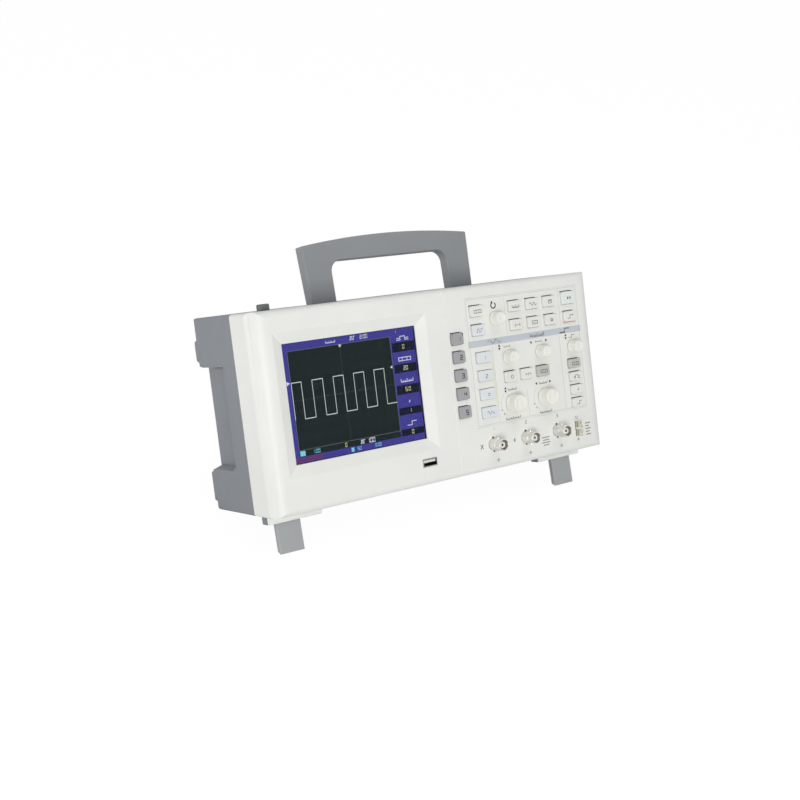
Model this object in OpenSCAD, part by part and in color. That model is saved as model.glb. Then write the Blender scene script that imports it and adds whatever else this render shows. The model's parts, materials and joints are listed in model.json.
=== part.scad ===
// Bench oscilloscope standing on its two front legs. Millimetres.
// Every piece is drawn upright (x right, y to the rear, z up, front face at y = 0)
// and stand() leans the whole instrument back until legs and rear feet meet the table.

/* [Case] */
// width of the case
case_w = 320; // [290:1:350]
// height of the case without its feet
case_h = 147.2; // [132:0.2:162]
// depth from the front face to the rear wall
case_d = 94; // [88:0.5:115]
// depth of the front bezel
bezel_d = 32.5; // [28:0.5:38]
// thickness of the moulded walls
wall = 2.6; // [2:0.1:3.4]
// thickness of the front wall
front_t = 3; // [2.4:0.1:3.6]
// corner radius of the front outline
corner_r = 2.5; // [1.5:0.5:5]
// rounding of the upper and lower front edges
edge_r = 5; // [4:0.5:9]
// rounding of the left and right front edges
side_r = 12; // [6:0.5:14]
// rounding of the rear edges
rear_r = 3; // [2:0.5:6]
// rounding of the lower rear edge
heel_r = 5.5; // [3:0.5:6]
// depth of the groove beside the screen half
groove_t = 0.7; // [0.3:0.1:1.2]

/* [Rear shell] */
// depth of the hollow in each side
recess_in = 8.2; // [6:0.2:12]
// y where the side hollow begins
recess_y = 53; // [48:0.5:60]
// length of the ramp into the side hollow
recess_ramp = 4; // [1:0.5:10]
// fall of the ledge under the side hollow
ledge = 2.6; // [1:0.2:4]
// rounding of the rear corner over a side hollow
lobe_r1 = 15; // [10:0.5:16]
// rounding of the rear corner under a side hollow
lobe_r0 = 12; // [8:0.5:14]
// how far the rear bumpers stand out
bump_out = 7.6; // [4:0.2:12]
// width of a rear bumper
bump_w = 34; // [24:1:40]
// height of a lower bumper
bump_h0 = 29.2; // [24:0.2:29.6]
// height of an upper bumper
bump_h1 = 21; // [20:0.2:22]
// rounding under a bumper, seen from the side
bump_low = 9; // [6:0.5:10]
// rounding over a lower bumper, seen from the side
bump_top = 8; // [5:0.5:10]
// rounding of a bumper's corners, seen from behind
bump_turn = 6; // [3:0.5:6.5]
// number of rear vent slots
vent_n = 12; // [6:1:16]
// width of a vent slot
vent_w = 3; // [2:0.5:4]
// height of a vent slot
vent_h = 46; // [30:1:60]
// spacing of the vent slots
vent_pitch = 9; // [7:0.5:11]

/* [Screen] */
// width of the lit picture
lcd_w = 115.2; // [110:0.2:118]
// height of the lit picture
lcd_h = 86.4; // [80:0.2:90]
// width of the sloped border around the picture
slope_w = 8.6; // [6:0.2:10]
// depth of the sloped border
slope_d = 3.6; // [2:0.1:4.5]
// thickness of the lip that holds the window
lip_t = 0.8; // [0.5:0.1:1.2]
// thickness of the window
window_t = 1; // [0.6:0.1:1.5]
// cover of the window behind its lip
window_lap = 1.5; // [1:0.1:2.5]
// thickness of the display module
lcd_t = 8; // [6:0.5:10]
// frame of the display module around the picture
lcd_frame = 4; // [3:0.5:5]

/* [Keys] */
// how far the keys stand out
key_out = 2; // [1.2:0.1:3]
// travel of a key
key_travel = 1; // [0.5:0.1:1.4]
// gap around a key
key_gap = 0.3; // [0.2:0.05:0.5]
// play between a key flange and the front wall
key_seat = 0.2; // [0.1:0.05:0.3]
// thickness of the key flange
flange_t = 1.4; // [1:0.1:1.8]
// width of the key flange around the key
flange_lip = 0.9; // [0.6:0.1:1.1]
// corner radius of a key
key_r = 1.2; // [0.6:0.1:2]
// width of a panel key
key_w = 13; // [11:0.5:14]
// height of a panel key
key_h = 8.6; // [7:0.2:9]
// width of a channel key
chan_w = 15; // [12:0.5:15.5]
// width of the run key
run_w = 14.5; // [12:0.5:15]
// height of the run key
run_h = 10.4; // [8:0.2:10.6]
// height of the four trigger keys
trig_h = 7.4; // [6:0.2:7.8]
// width of a soft key
soft_w = 11.2; // [9:0.2:12]
// height of a soft key
soft_h = 9; // [7:0.2:10]

/* [Knobs] */
// radius of a small knob
knob_r = 5.4; // [5.2:0.1:7]
// radius of a large knob
dial_r = 7.4; // [7:0.1:9]
// how far a small knob stands out
knob_out = 10; // [9:0.5:14]
// how far a large knob stands out
dial_out = 11; // [9:0.5:13]
// gap between a knob and the panel
knob_gap = 0.8; // [0.4:0.1:1]
// radius of a knob stem
stem_r = 2.95; // [2.5:0.05:3.2]
// running clearance of a stem in its bush
run_gap = 0.05; // [0.02:0.01:0.1]
// wall of the bush around a stem
bush_t = 0.9; // [0.8:0.1:1.3]
// gap around fixed pieces in the front wall
fit_gap = 0.25; // [0.1:0.05:0.4]
// side of an encoder body
enc_w = 11; // [10:0.5:12]

/* [Overlay and boards] */
// thickness of the overlay
over_t = 0.6; // [0.4:0.1:0.8]
// y of the keypad board
board_y = 10.5; // [9.8:0.1:12]
// thickness of a circuit board
board_t = 1.6; // [1.2:0.1:2]
// height of a tact switch body
tact_h = 2.4; // [2:0.1:2.6]
// height of a tact switch plunger
tact_tip = 1.2; // [0.8:0.1:1.4]
// side of a tact switch
tact_w = 6; // [5:0.2:6.4]
// radius of the board bosses
boss_r = 2.4; // [2:0.1:3]
// thickness of the chassis plate
plate_t = 1.2; // [0.8:0.1:2]
// gap between the front shell and the chassis plate
plate_gap = 1.5; // [1:0.1:3]
// length of the board spacers on the chassis
spacer = 7; // [5:0.5:9]

/* [Front connectors] */
// radius of a jack barrel
bnc_r = 4.8; // [4.6:0.05:4.9]
// how far a jack stands out
bnc_out = 13; // [12.4:0.1:14]
// radius of the jack shoulder behind the front wall
bnc_flange = 6.5; // [6.3:0.1:6.8]
// thickness of the jack shoulder
bnc_flange_t = 2.6; // [2:0.1:3]
// bore radius of a jack
bnc_bore = 4.05; // [3.9:0.05:4.1]
// depth of the bore of a jack
bore_in = 9; // [8.5:0.1:9.5]
// radius of a lug
lug_r = 0.95; // [0.8:0.05:1.1]
// distance of the lugs from the panel
lug_out = 6; // [5:0.1:6.5]
// reach of a lug from the jack axis
lug_reach = 5.7; // [5.4:0.1:5.9]
// radius of the notches that let the lugs through the front wall
notch_r = 1.2; // [1.15:0.05:1.3]
// length of a jack behind the front face
bnc_in = 15; // [12:0.5:18]
// width of the USB opening
usb_w = 12.4; // [12:0.1:12.8]
// height of the USB opening
usb_h = 5; // [4.6:0.1:5.4]
// metal thickness of the USB port
usb_t = 0.4; // [0.3:0.05:0.5]
// length of the USB port
usb_l = 14; // [12:0.5:16]

/* [Power] */
// gap between the power switch and the screw post beside it
power_gap = 0.3; // [0.2:0.1:4]
// y of the power button
power_y = 18; // [17:0.5:20]
// width of the power button
power_w = 7.2; // [6:0.2:10]
// depth of the power button
power_d = 8; // [6:0.5:9]
// how far the power button stands out
power_out = 4.6; // [3:0.2:6]
// travel of the power button
power_travel = 2; // [1:0.1:2.5]
// height of the power switch
switch_h = 6; // [4:0.5:6.5]
// depth of the power switch
switch_d = 7; // [5:0.5:7]
// thickness of the ears that hang the power switch under the top wall
switch_ear = 1.2; // [1:0.1:1.4]
// width of the inlet cavity
inlet_w = 24.4; // [24:0.2:25]
// height of the inlet cavity
inlet_h = 16.6; // [16:0.2:17]
// depth of the inlet cavity
inlet_d = 15; // [14:0.5:15.5]

/* [Handle] */
// y of the handle pivot
grip_y = 57.5; // [56.5:0.5:60]
// depth of the pivot under the top
grip_drop = 6.5; // [6:0.1:7.5]
// width over the handle
grip_w = 155; // [140:1:160]
// width of a handle side
grip_side = 21.8; // [18:0.2:23]
// how far each side leans out towards the grip
grip_flare = 2.1; // [0:0.1:3]
// thickness of the handle
grip_t = 10; // [8:0.2:10.4]
// height of the handle corners over the top of the case
grip_h = 44.6; // [40:0.2:50]
// rise of the handle towards its middle
grip_rise = 5; // [2:0.2:8]
// height of the finger gap over the top of the case
grip_gap = 31.4; // [26:0.2:34]
// lean of the upright handle
grip_lean = 4.4; // [2:0.2:6]
// radius of a handle pin
grip_pin = 2; // [1.5:0.1:2.4]
// gap around the handle in its channels
grip_clear = 0.5; // [0.3:0.1:0.8]

/* [Legs and feet] */
// width of a leg
leg_w = 20.6; // [18:0.2:21]
// thickness of a leg
leg_t = 4.2; // [3.4:0.1:4.6]
// y of a leg pin behind the bezel
leg_back = 0.5; // [0.4:0.1:1.5]
// depth of a leg pin under the case
leg_z = 3.6; // [3.5:0.1:4.2]
// depth of the leg tips under the case
leg_drop = 30.6; // [27:0.2:34]
// forward lean of a leg
leg_lean = 3.8; // [2:0.2:6]
// radius of a leg pin
leg_pin = 1.5; // [1.2:0.1:1.7]
// radius of the eye of a leg
leg_eye = 3.2; // [2.8:0.1:3.3]
// gap beside a leg
leg_clear = 0.3; // [0.2:0.05:0.6]
// height of the front foot blocks
block_h = 7.8; // [7:0.1:9]
// y of the lip in front of a leg
lip_front = 27; // [26:0.1:27.4]
// thickness of the lip in front of a leg
block_lip = 1.4; // [1:0.1:1.6]
// how far the ears beside a leg reach behind the bezel
block_ear = 4.2; // [3:0.2:6]
// reach of a front foot block inwards from its leg
block_in = 27.4; // [24:0.2:30]
// reach of a front foot block outwards from its leg
block_out = 18; // [16:0.2:20]
// height of the rear feet
foot_h = 8; // [6:0.2:9]
// width of a rear foot
foot_w = 24; // [16:1:28]
// depth of a rear foot
foot_d = 12; // [9:0.5:14]
// height of the bevel at the heel of a rear foot
heel = 1.4; // [1:0.1:2]

/* [Screws] */
// distance of the case screws from the sides
screw_side = 10; // [9.6:0.1:11]
// distance of the upper case screws from the top
screw_z1 = 12; // [11:0.5:14]
// radius of a case screw
screw_r = 1.5; // [1.2:0.1:1.8]
// radius of a screw head
head_r = 3; // [2.6:0.1:3.2]
// y of the screw heads
head_y = 70; // [66:1:76]
// radius of the screw posts
post_r = 4.2; // [4:0.1:4.6]
// how far a screw goes into the bezel
screw_in = 12; // [8:0.5:16]

/* [Hidden] */
$fn = 48;
eps = 0.01;
far = 300;
// places across the front and the rear, in percent of half the width
function px(p) = case_w/2*p/100;
groove_x = px(3.75);
lcd_x = px(-48.94);
soft_x = px(9.56);
setup_x = px(23.12);
menu_x = px(47.37);
menu_pitch = px(11.47);
trig_x = px(83.31);
chan_x = px(24.69);
off_x = px(40.5);
zero_x = px(50.88);
multi_x = px(34.25);
vert_x = px(40.06);
horz_x = px(61.44);
over_x0 = px(16.25);
over_x1 = px(90.62);
bnc_x = px(25.31);
bnc_pitch = px(21.06);
probe_x = px(81.31);
usb_x = px(-14.12);
inlet_x = px(-65.62);
leg_x = px(84.0);
foot_x = px(70.0);
vent_x = px(-12.5);
// places up the case, in percent of its height
function pz(p) = case_h*p/100;
lcd_z = pz(53.53);
soft_z = pz(53.53);
soft_pitch = pz(9.75);
row1_z = pz(86.14);
row2_z = pz(75.95);
row3_z = pz(48.51);
trig_z = pz(49.59);
trig_pitch = pz(7.37);
chan_z = pz(61.14);
chan_pitch = pz(9.88);
multi_z = pz(80.98);
pos_z = pz(59.24);
scale_z = pz(33.97);
over_z0 = pz(23.91);
over_z1 = pz(93.21);
bnc_z = pz(13.86);
usb_z = pz(11.68);
inlet_z = pz(42.93);
recess_z0 = pz(23.51);
recess_z1 = pz(74.52);
bump_z0 = pz(2.72);
bump_z1 = pz(74.93);
screw_z0 = pz(10.33);
vent_z = pz(34.78);
screw_x = case_w/2 - screw_side;
block_x0 = leg_x - block_in;
block_x1 = leg_x + block_out;
// screen stack
open_w = lcd_w + 0.8;
open_h = lcd_h + 0.8;
lip_y = slope_d + lip_t;
block_y = lip_y + window_t + 0.1;
lcd_y = block_y + 0.1;
border_w = open_w + 2*slope_w;
border_h = open_h + 2*slope_w;
// key stack
flange_y = front_t + key_seat;
tact_y = board_y - tact_h - tact_tip;
stem_y = tact_y - key_travel - 0.1;
bush_r = stem_r + run_gap + bush_t;
bush_out = knob_gap + 1;
chassis_y = bezel_d + plate_gap;
boards_y = chassis_y + plate_t + spacer;
screw_z = [screw_z0, case_h - screw_z1];
boss_at = [for (x = [over_x0 - 1.4, over_x1 + 1.4], z = [over_z0 - 0.4, over_z1 - 2]) [x, z]];
board_x = [px(-3.75), px(83.75)];
board_z = [pz(18.5), pz(83.7)];
supply_x = [px(-87.5), px(-27.5)];
supply_z = [pz(14.4), pz(75.5)];
plate_in = 8;
board_pts = [for (x = [board_x[0] + plate_in, board_x[1] - plate_in],
    z = [board_z[0] + plate_in, board_z[1] - plate_in]) [x, z]];
supply_pts = [for (x = [supply_x[0] + plate_in, supply_x[1] - plate_in],
    z = [supply_z[0] + plate_in, supply_z[1] - plate_in]) [x, z]];
// left, right, bottom, top and height of the larger parts on the two boards
chips = [[6, 25, 30, 49, 2.5], [34, 49, 31, 47, 2.5], [12, 37, 58, 75, 9], [52, 75, 42, 71, 6]];
modules = [[-82, -62, 25, 37, 26], [-59, -37, 44, 66, 22], [-82, -65, 56, 70, 14]];
capacitors = [-55, -45, -35];
cap_z = pz(27);
cap_r = 6;
cap_h = 20;
slot_x = [px(-18.75), px(-8.75)];
slot_z = [pz(41), pz(55)];
// jacks, terminals, power
bnc_body = bnc_r - 0.15;
bnc_root = bnc_r + 0.2;
root_out = lug_out + lug_r + 0.1;
bore_out = bnc_out - bore_in;
notch_at = lug_reach - 0.6;
probe_t = 1.2;
probe_h = 5;
probe_out = 7.5;
probe_tabs = [bnc_z + 1.6, bnc_z - 5.6];
power_base = case_h - wall - key_seat;
power_stem = power_base - 2.4;
power_tip = power_stem - power_travel - 0.1;
power_rim = 1;
switch_w = power_w + 2*(power_rim + key_gap + switch_ear);
power_x = post_r + power_gap + switch_w/2 - screw_x;
inlet_pins = [[-7, -2], [7, -2], [0, 4]];
// handle and legs
grip_z = case_h - grip_drop;
grip_x = grip_w/2 - grip_side/2;
chan_in = grip_w/2 - grip_side - grip_clear;
chan_out = grip_w/2 + grip_flare + grip_clear;
grip_r = 9;
leg_y = bezel_d + leg_back;
tip_y = leg_y - (leg_drop - leg_z)*tan(leg_lean);
// stance
foot_y = case_d - rear_r - 1;
tilt = atan((leg_drop - foot_h + heel)/(foot_y - tip_y));
bump_y = case_d + bump_out;
bump_r = 5;
y_front = bnc_out*-cos(tilt) + (bnc_z - bnc_r)*sin(tilt);
y_bump = (bump_y - bump_r)*cos(tilt) + (bump_z1 + bump_h1 - bump_r)*sin(tilt) + bump_r;
y_top = (case_d - rear_r)*cos(tilt) + (case_h - rear_r)*sin(tilt) + rear_r;
lift_y = (y_front + max(y_bump, y_top))/2;
lift_z = tip_y*sin(tilt) + leg_drop*cos(tilt);

// name, x, z, width, height of every key
softs = [for (i = [1:5]) [str("soft_key_", i), soft_x, soft_z + (3 - i)*soft_pitch, soft_w, soft_h]];
setups = [["setup_key_1", setup_x, row1_z, key_w, key_h], ["setup_key_2", setup_x, row2_z, key_w, key_h]];
menus = [for (i = [0:5]) [str("menu_key_", i + 1), menu_x + (i % 3)*menu_pitch,
    i < 3 ? row1_z : row2_z, key_w, key_h]];
runs = [["run_key", trig_x, row1_z + 0.8, run_w, run_h], ["auto_key", trig_x, row2_z + 0.4, key_w, key_h]];
chans = [for (i = [0:3]) [str("channel_key_", i + 1), chan_x, chan_z - i*chan_pitch, chan_w, key_h]];
rows = [["off_key", off_x, row3_z, key_w, key_h], ["zero_key", zero_x, row3_z, key_w, key_h],
    ["timebase_key", horz_x + 0.2, row3_z, key_w, key_h]];
trigs = [for (i = [0:3]) [str("trigger_key_", i + 1), trig_x, trig_z - i*trig_pitch, key_w, trig_h]];
KEYS = concat(softs, setups, menus, runs, chans, rows, trigs);
// name, x, z, radius, height of every knob
KNOBS = [["multi_knob", multi_x, multi_z, knob_r, knob_out],
    ["vertical_position_knob", vert_x, pos_z, knob_r, knob_out],
    ["horizontal_position_knob", horz_x, pos_z, knob_r, knob_out],
    ["trigger_knob", trig_x, pos_z, knob_r, knob_out],
    ["vertical_scale_knob", vert_x, scale_z, dial_r, dial_out],
    ["horizontal_scale_knob", horz_x, scale_z, dial_r, dial_out]];
bncs = [for (i = [0:2]) bnc_x + i*bnc_pitch];

function arc(cx, cy, r, a0, n = 6) = [for (i = [0:n]) [cx + r*cos(a0 + 90*i/n), cy + r*sin(a0 + 90*i/n)]];
function rounded(x0, x1, y0, y1, r, n = 6) = concat(arc(x1 - r, y1 - r, r, 0, n),
    arc(x0 + r, y1 - r, r, 90, n), arc(x0 + r, y0 + r, r, 180, n), arc(x1 - r, y0 + r, r, 270, n));

// lean the upright instrument back on its legs, centred over the origin
module stand() {
    translate([0, -lift_y, lift_z]) rotate([-tilt, 0, 0]) children();
}

// all that lies under the table top, seen from the upright case
module under_table() {
    translate([0, tip_y, -leg_drop]) rotate([tilt, 0, 0])
        translate([-far, -far, -far]) cube([2*far, 2*far, far]);
}

// flat outline in x and z, given thickness from y0 to y1
module front_slab(y0, y1) {
    translate([0, y1, 0]) rotate([90, 0, 0]) linear_extrude(y1 - y0) children();
}

// outline in y and z, given width from x0 to x1
module side_slab(x0, x1) {
    translate([x0, 0, 0]) rotate([90, 0, 90]) linear_extrude(x1 - x0) children();
}

// block from one corner to the other
module block(a, b) {
    translate(a) cube(b - a);
}

// round bar along y
module rod_y(x, z, r, y0, y1) {
    translate([x, y1, z]) rotate([90, 0, 0]) cylinder(r = r, h = y1 - y0);
}

// round bar along x
module rod_x(y, z, r, x0, x1) {
    translate([x0, y, z]) rotate([0, 90, 0]) cylinder(r = r, h = x1 - x0);
}

// rounded front half, pulled in by d and starting at y0
module bezel_form(d, y0, y1) {
    w = case_w/2 - d;
    r = max(edge_r - d, 1);
    rs = max(side_r - d, 1);
    intersection() {
        front_slab(y0, y1) polygon(rounded(-w, w, d, case_h - d, max(corner_r - d, 1)));
        side_slab(-far, far) polygon(concat(arc(y0 + r, case_h - d - r, r, 90), arc(y0 + r, d + r, r, 180),
            [[y1 + 1, d], [y1 + 1, case_h - d]]));
        translate([0, 0, -far]) linear_extrude(2*far) polygon(concat(arc(-w + rs, y0 + rs, rs, 180, 10),
            arc(w - rs, y0 + rs, rs, 270, 10), [[w, y1 + 1], [-w, y1 + 1]]));
    }
}

// rear half, pulled in by d and starting at y0
module rear_form(d, y0) {
    w = case_w/2 - d;
    y1 = case_d - d;
    r = max(rear_r - d, 1);
    rh = max(heel_r - d, 1);
    intersection() {
        front_slab(y0, y1) polygon(rounded(-w, w, d, case_h - d, max(corner_r - d, 1)));
        side_slab(-far, far) polygon(concat(arc(y1 - r, case_h - d - r, r, 0),
            [[y0 - 1, case_h - d], [y0 - 1, d]], arc(y1 - rh, d + rh, rh, 270)));
        translate([0, 0, -far]) linear_extrude(2*far) polygon(concat(arc(w - r, y1 - r, r, 0),
            arc(-w + r, y1 - r, r, 90), [[-w, y0 - 1], [w, y0 - 1]]));
    }
}

// sloped border that narrows from the front face to the picture
module screen_slope() {
    w0 = border_w/2;
    w1 = open_w/2;
    h0 = border_h/2;
    h1 = open_h/2;
    translate([lcd_x, 0, lcd_z]) intersection() {
        translate([0, 0, -far]) linear_extrude(2*far)
            polygon([[-w0, 0], [w0, 0], [w1, slope_d], [-w1, slope_d]]);
        side_slab(-far, far) polygon([[0, -h0], [0, h0], [slope_d, h1], [slope_d, -h1]]);
    }
    translate([lcd_x - w0, -1, lcd_z - h0]) cube([border_w, 1 + eps, border_h]);
    translate([lcd_x - w1, 0, lcd_z - h1]) cube([open_w, far, open_h]);
}

// one key prism, grown by g, from y0 to y1
module key_prism(k, g, y0, y1) {
    front_slab(y0, y1) polygon(rounded(k[1] - k[3]/2 - g, k[1] + k[3]/2 + g,
        k[2] - k[4]/2 - g, k[2] + k[4]/2 + g, key_r + g, 4));
}

// cuts in the front wall for keys, knobs and connectors
module front_cuts() {
    for (k = KEYS) key_prism(k, key_gap, -1, front_t + 1);
    for (k = KNOBS) rod_y(k[1], k[2], bush_r + fit_gap, -1, front_t + 1);
    for (x = bncs) {
        rod_y(x, bnc_z, bnc_r + fit_gap, -1, front_t + 1);
        for (s = [-1, 1]) rod_y(x, bnc_z + s*notch_at, notch_r, -1, front_t + 1);
    }
    translate([usb_x - usb_w/2 - usb_t - fit_gap, -1, usb_z - usb_h/2 - usb_t - fit_gap])
        cube([usb_w + 2*usb_t + 2*fit_gap, front_t + 2, usb_h + 2*usb_t + 2*fit_gap]);
    for (t = probe_tabs) translate([probe_x - probe_t/2 - fit_gap, -1, t - probe_h/2 - fit_gap])
        cube([probe_t + 2*fit_gap, front_t + 2, probe_h + 2*fit_gap]);
}

module front_bezel() {
    color("whitesmoke") difference() {
        union() {
            difference() {
                bezel_form(0, 0, bezel_d);
                bezel_form(wall, front_t, bezel_d + 1);
            }
            block([lcd_x - border_w/2 + 1, 1, lcd_z - border_h/2 + 1],
                [lcd_x + border_w/2 - 1, block_y, lcd_z + border_h/2 - 1]);
            for (x = [-screw_x, screw_x], z = screw_z) rod_y(x, z, post_r, 2, chassis_y);
            for (b = boss_at) rod_y(b[0], b[1], boss_r, 2, board_y);
            for (s = [-1, 1]) side_slab(s*(block_x0 + block_x1)/2 - (block_x1 - block_x0)/2,
                s*(block_x0 + block_x1)/2 + (block_x1 - block_x0)/2)
                polygon([[lip_front + block_lip, 1], [lip_front + block_lip, -block_h],
                    [lip_front + 0.6, -block_h], [lip_front, 0.6 - block_h], [lip_front - 1, 1]]);
        }
        screen_slope();
        block([lcd_x - open_w/2 - window_lap - 0.1, lip_y, lcd_z - open_h/2 - window_lap - 0.1],
            [lcd_x + open_w/2 + window_lap + 0.1, block_y + 1, lcd_z + open_h/2 + window_lap + 0.1]);
        block([over_x0, -1, over_z0], [over_x1, over_t, over_z1]);
        front_cuts();
        block([groove_x - 0.5, -1, -1], [groove_x + 0.5, groove_t, case_h + 1]);
        power_prism(key_gap, case_h - wall - 1, case_h + 1);
        for (x = [-screw_x, screw_x], z = screw_z)
            rod_y(x, z, screw_r + 0.05, chassis_y - screw_in - 1, chassis_y + 1);
    }
}

module control_overlay() {
    color("gainsboro") difference() {
        block([over_x0 + 0.1, 0, over_z0 + 0.1], [over_x1 - 0.1, over_t, over_z1 - 0.1]);
        front_cuts();
    }
}

module screen_window() {
    color("lightblue", 0.4) block([lcd_x - open_w/2 - window_lap, lip_y, lcd_z - open_h/2 - window_lap],
        [lcd_x + open_w/2 + window_lap, lip_y + window_t, lcd_z + open_h/2 + window_lap]);
}

module lcd_module() {
    w = lcd_w/2 + lcd_frame;
    h = lcd_h/2 + lcd_frame;
    color("midnightblue") union() {
        block([lcd_x - w, lcd_y, lcd_z - h], [lcd_x + w, lcd_y + lcd_t, lcd_z + h]);
        block([lcd_x - w + 10, lcd_y + lcd_t - 1, lcd_z - h + 10],
            [lcd_x + w - 20, lcd_y + lcd_t + 3, lcd_z]);
    }
}

// cut for the screws that clamp case, chassis and bezel
module plate_holes() {
    for (x = [-screw_x, screw_x], z = screw_z)
        rod_y(x, z, screw_r + 0.2, chassis_y - 1, chassis_y + plate_t + 1);
}

module chassis() {
    color("silver") union() {
        difference() {
            block([-case_w/2 + wall + 2, chassis_y, wall + 2],
                [case_w/2 - wall - 2, chassis_y + plate_t, case_h - wall - 2]);
            plate_holes();
            block([slot_x[0], chassis_y - 1, slot_z[0]], [slot_x[1], chassis_y + plate_t + 1, slot_z[1]]);
        }
        for (p = concat(board_pts, supply_pts)) rod_y(p[0], p[1], 3, chassis_y + plate_t - 0.1, boards_y);
    }
}

module main_board() {
    color("darkgreen") union() {
        block([board_x[0], boards_y, board_z[0]], [board_x[1], boards_y + board_t, board_z[1]]);
        for (c = chips) block([px(c[0]), boards_y + 1, pz(c[2])],
            [px(c[1]), boards_y + board_t + c[4], pz(c[3])]);
    }
}

module keypad_board() {
    color("seagreen") difference() {
        block([soft_x - 8, board_y, over_z0 - 3.4], [over_x1 + 4, board_y + board_t, over_z1 + 0.6]);
        for (k = KNOBS) rod_y(k[1], k[2], 1.5, board_y - 1, board_y + board_t + 1);
        for (z = screw_z) rod_y(screw_x, z, post_r + 0.6, board_y - 1, board_y + board_t + 1);
    }
}

module tact_switches() {
    color("dimgray") for (k = KEYS) {
        union() {
            block([k[1] - tact_w/2, board_y - tact_h, k[2] - tact_w/2],
                [k[1] + tact_w/2, board_y, k[2] + tact_w/2]);
            rod_y(k[1], k[2], 1.75, tact_y, board_y - tact_h + 0.1);
        }
    }
}

module encoders() {
    color("lightslategray") for (k = KNOBS) {
        difference() {
            union() {
                block([k[1] - enc_w/2, flange_y, k[2] - enc_w/2], [k[1] + enc_w/2, board_y, k[2] + enc_w/2]);
                rod_y(k[1], k[2], bush_r, -bush_out, flange_y + 0.1);
            }
            rod_y(k[1], k[2], stem_r + run_gap, -bush_out - 1, board_y - 1);
        }
    }
}

// half outline of a coaxial jack, turned about the axis that points out of the panel
module bnc_jacks() {
    color("silver") for (x = bncs) translate([x, 0, bnc_z]) rotate([90, 0, 0]) {
        union() {
            rotate_extrude() polygon([[2.1, -bnc_in], [bnc_body, -bnc_in],
                [bnc_body, -front_t - bnc_flange_t], [bnc_flange, -front_t - bnc_flange_t],
                [bnc_flange, -front_t], [bnc_body, -front_t],
                [bnc_body, 0.2], [bnc_root, 0.2], [bnc_root, root_out], [bnc_r, root_out], [bnc_r, bnc_out],
                [bnc_bore, bnc_out], [bnc_bore, bore_out], [2.1, bore_out]]);
            for (s = [0, 180]) rotate([0, 0, s]) translate([0, bnc_bore + 0.2, lug_out]) rotate([-90, 0, 0])
                cylinder(r = lug_r, h = lug_reach - bnc_bore - 0.2);
        }
    }
}

module bnc_insulators() {
    color("white") for (x = bncs) translate([x, 0, bnc_z]) rotate([90, 0, 0])
        rotate_extrude() polygon([[1.1, -bnc_in], [2.05, -bnc_in], [2.05, bore_out],
            [bnc_bore - 0.05, bore_out], [bnc_bore - 0.05, bore_out + 1.2], [2.6, bore_out + 1.2],
            [2.6, bnc_out - 2], [1.1, bnc_out - 2]]);
}

module bnc_contacts() {
    color("goldenrod") for (x = bncs) translate([x, 0, bnc_z]) rotate([90, 0, 0])
        rotate_extrude() polygon([[0, -bnc_in - 4], [1.05, -bnc_in - 4], [1.05, bnc_out - 2.6],
            [0.5, bnc_out - 2.6], [0.5, bnc_out - 7], [0, bnc_out - 7]]);
}

module probe_terminals() {
    color("gold") for (t = probe_tabs) {
        difference() {
            union() {
                block([probe_x - probe_t/2, -probe_out, t - probe_h/2],
                    [probe_x + probe_t/2, front_t + 5, t + probe_h/2]);
                block([probe_x - probe_t/2 - 1, front_t, t - probe_h/2 - 0.4],
                    [probe_x + probe_t/2 + 1, front_t + 1, t + probe_h/2 + 0.4]);
            }
            rod_x(-probe_out + 2, t, 1, probe_x - 3, probe_x + 3);
        }
    }
}

module usb_port() {
    w = usb_w/2;
    h = usb_h/2;
    color("lightgray") translate([usb_x, 0, usb_z]) union() {
        difference() {
            block([-w - usb_t, 0, -h - usb_t], [w + usb_t, usb_l, h + usb_t]);
            block([-w, -1, -h], [w, usb_l - 1.5, h]);
        }
        block([-w + 0.6, 1.2, 0.2], [w - 0.6, usb_l - 1, 2]);
        for (s = [-1, 1]) block([s*(w + usb_t + 1.5) - 1.5 - eps, front_t, -h - usb_t],
            [s*(w + usb_t + 1.5) + 1.5 + eps, front_t + 1, h + usb_t]);
    }
}

module power_supply() {
    color("tan") union() {
        block([supply_x[0], boards_y, supply_z[0]], [supply_x[1], boards_y + board_t, supply_z[1]]);
        for (m = modules) block([px(m[0]), boards_y + 1, pz(m[2])],
            [px(m[1]), boards_y + board_t + m[4], pz(m[3])]);
        for (c = capacitors) rod_y(px(c), cap_z, cap_r, boards_y + 1, boards_y + board_t + cap_h);
    }
}

module power_prism(g, z0, z1) {
    translate([power_x, power_y, z0]) linear_extrude(z1 - z0)
        polygon(rounded(-power_w/2 - g, power_w/2 + g, -power_d/2 - g, power_d/2 + g, 1.2 + g, 4));
}

module power_button() {
    color("dimgray") union() {
        power_prism(0, power_base - 0.1, case_h + power_out);
        power_prism(power_rim, power_base - 1.4, power_base);
        translate([power_x, power_y, power_stem]) cylinder(r = 1.6, h = 1.2);
    }
}

// hangs by two ears, which clear the rim of the button between them
module power_switch() {
    y0 = power_y - switch_d/2;
    y1 = power_y + switch_d/2;
    z1 = power_tip - 1.6;
    color("black") translate([power_x, 0, 0]) union() {
        block([-switch_w/2, y0, z1 - switch_h], [switch_w/2, y1, z1]);
        for (s = [0, 1]) mirror([s, 0, 0])
            block([switch_w/2 - switch_ear, y0, z1 - 1], [switch_w/2, y1, case_h - wall]);
        translate([0, power_y, power_tip - 2]) cylinder(r = 2, h = 2);
    }
}

// plan of the hollow in the right side, grown by g
module recess_plan(g) {
    x = case_w/2 - recess_in - g;
    polygon([[case_w/2 + 5, recess_y - g], [case_w/2, recess_y - g], [x, recess_y + recess_ramp - g],
        [x, case_d + 30], [case_w/2 + 5, case_d + 30]]);
}

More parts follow.
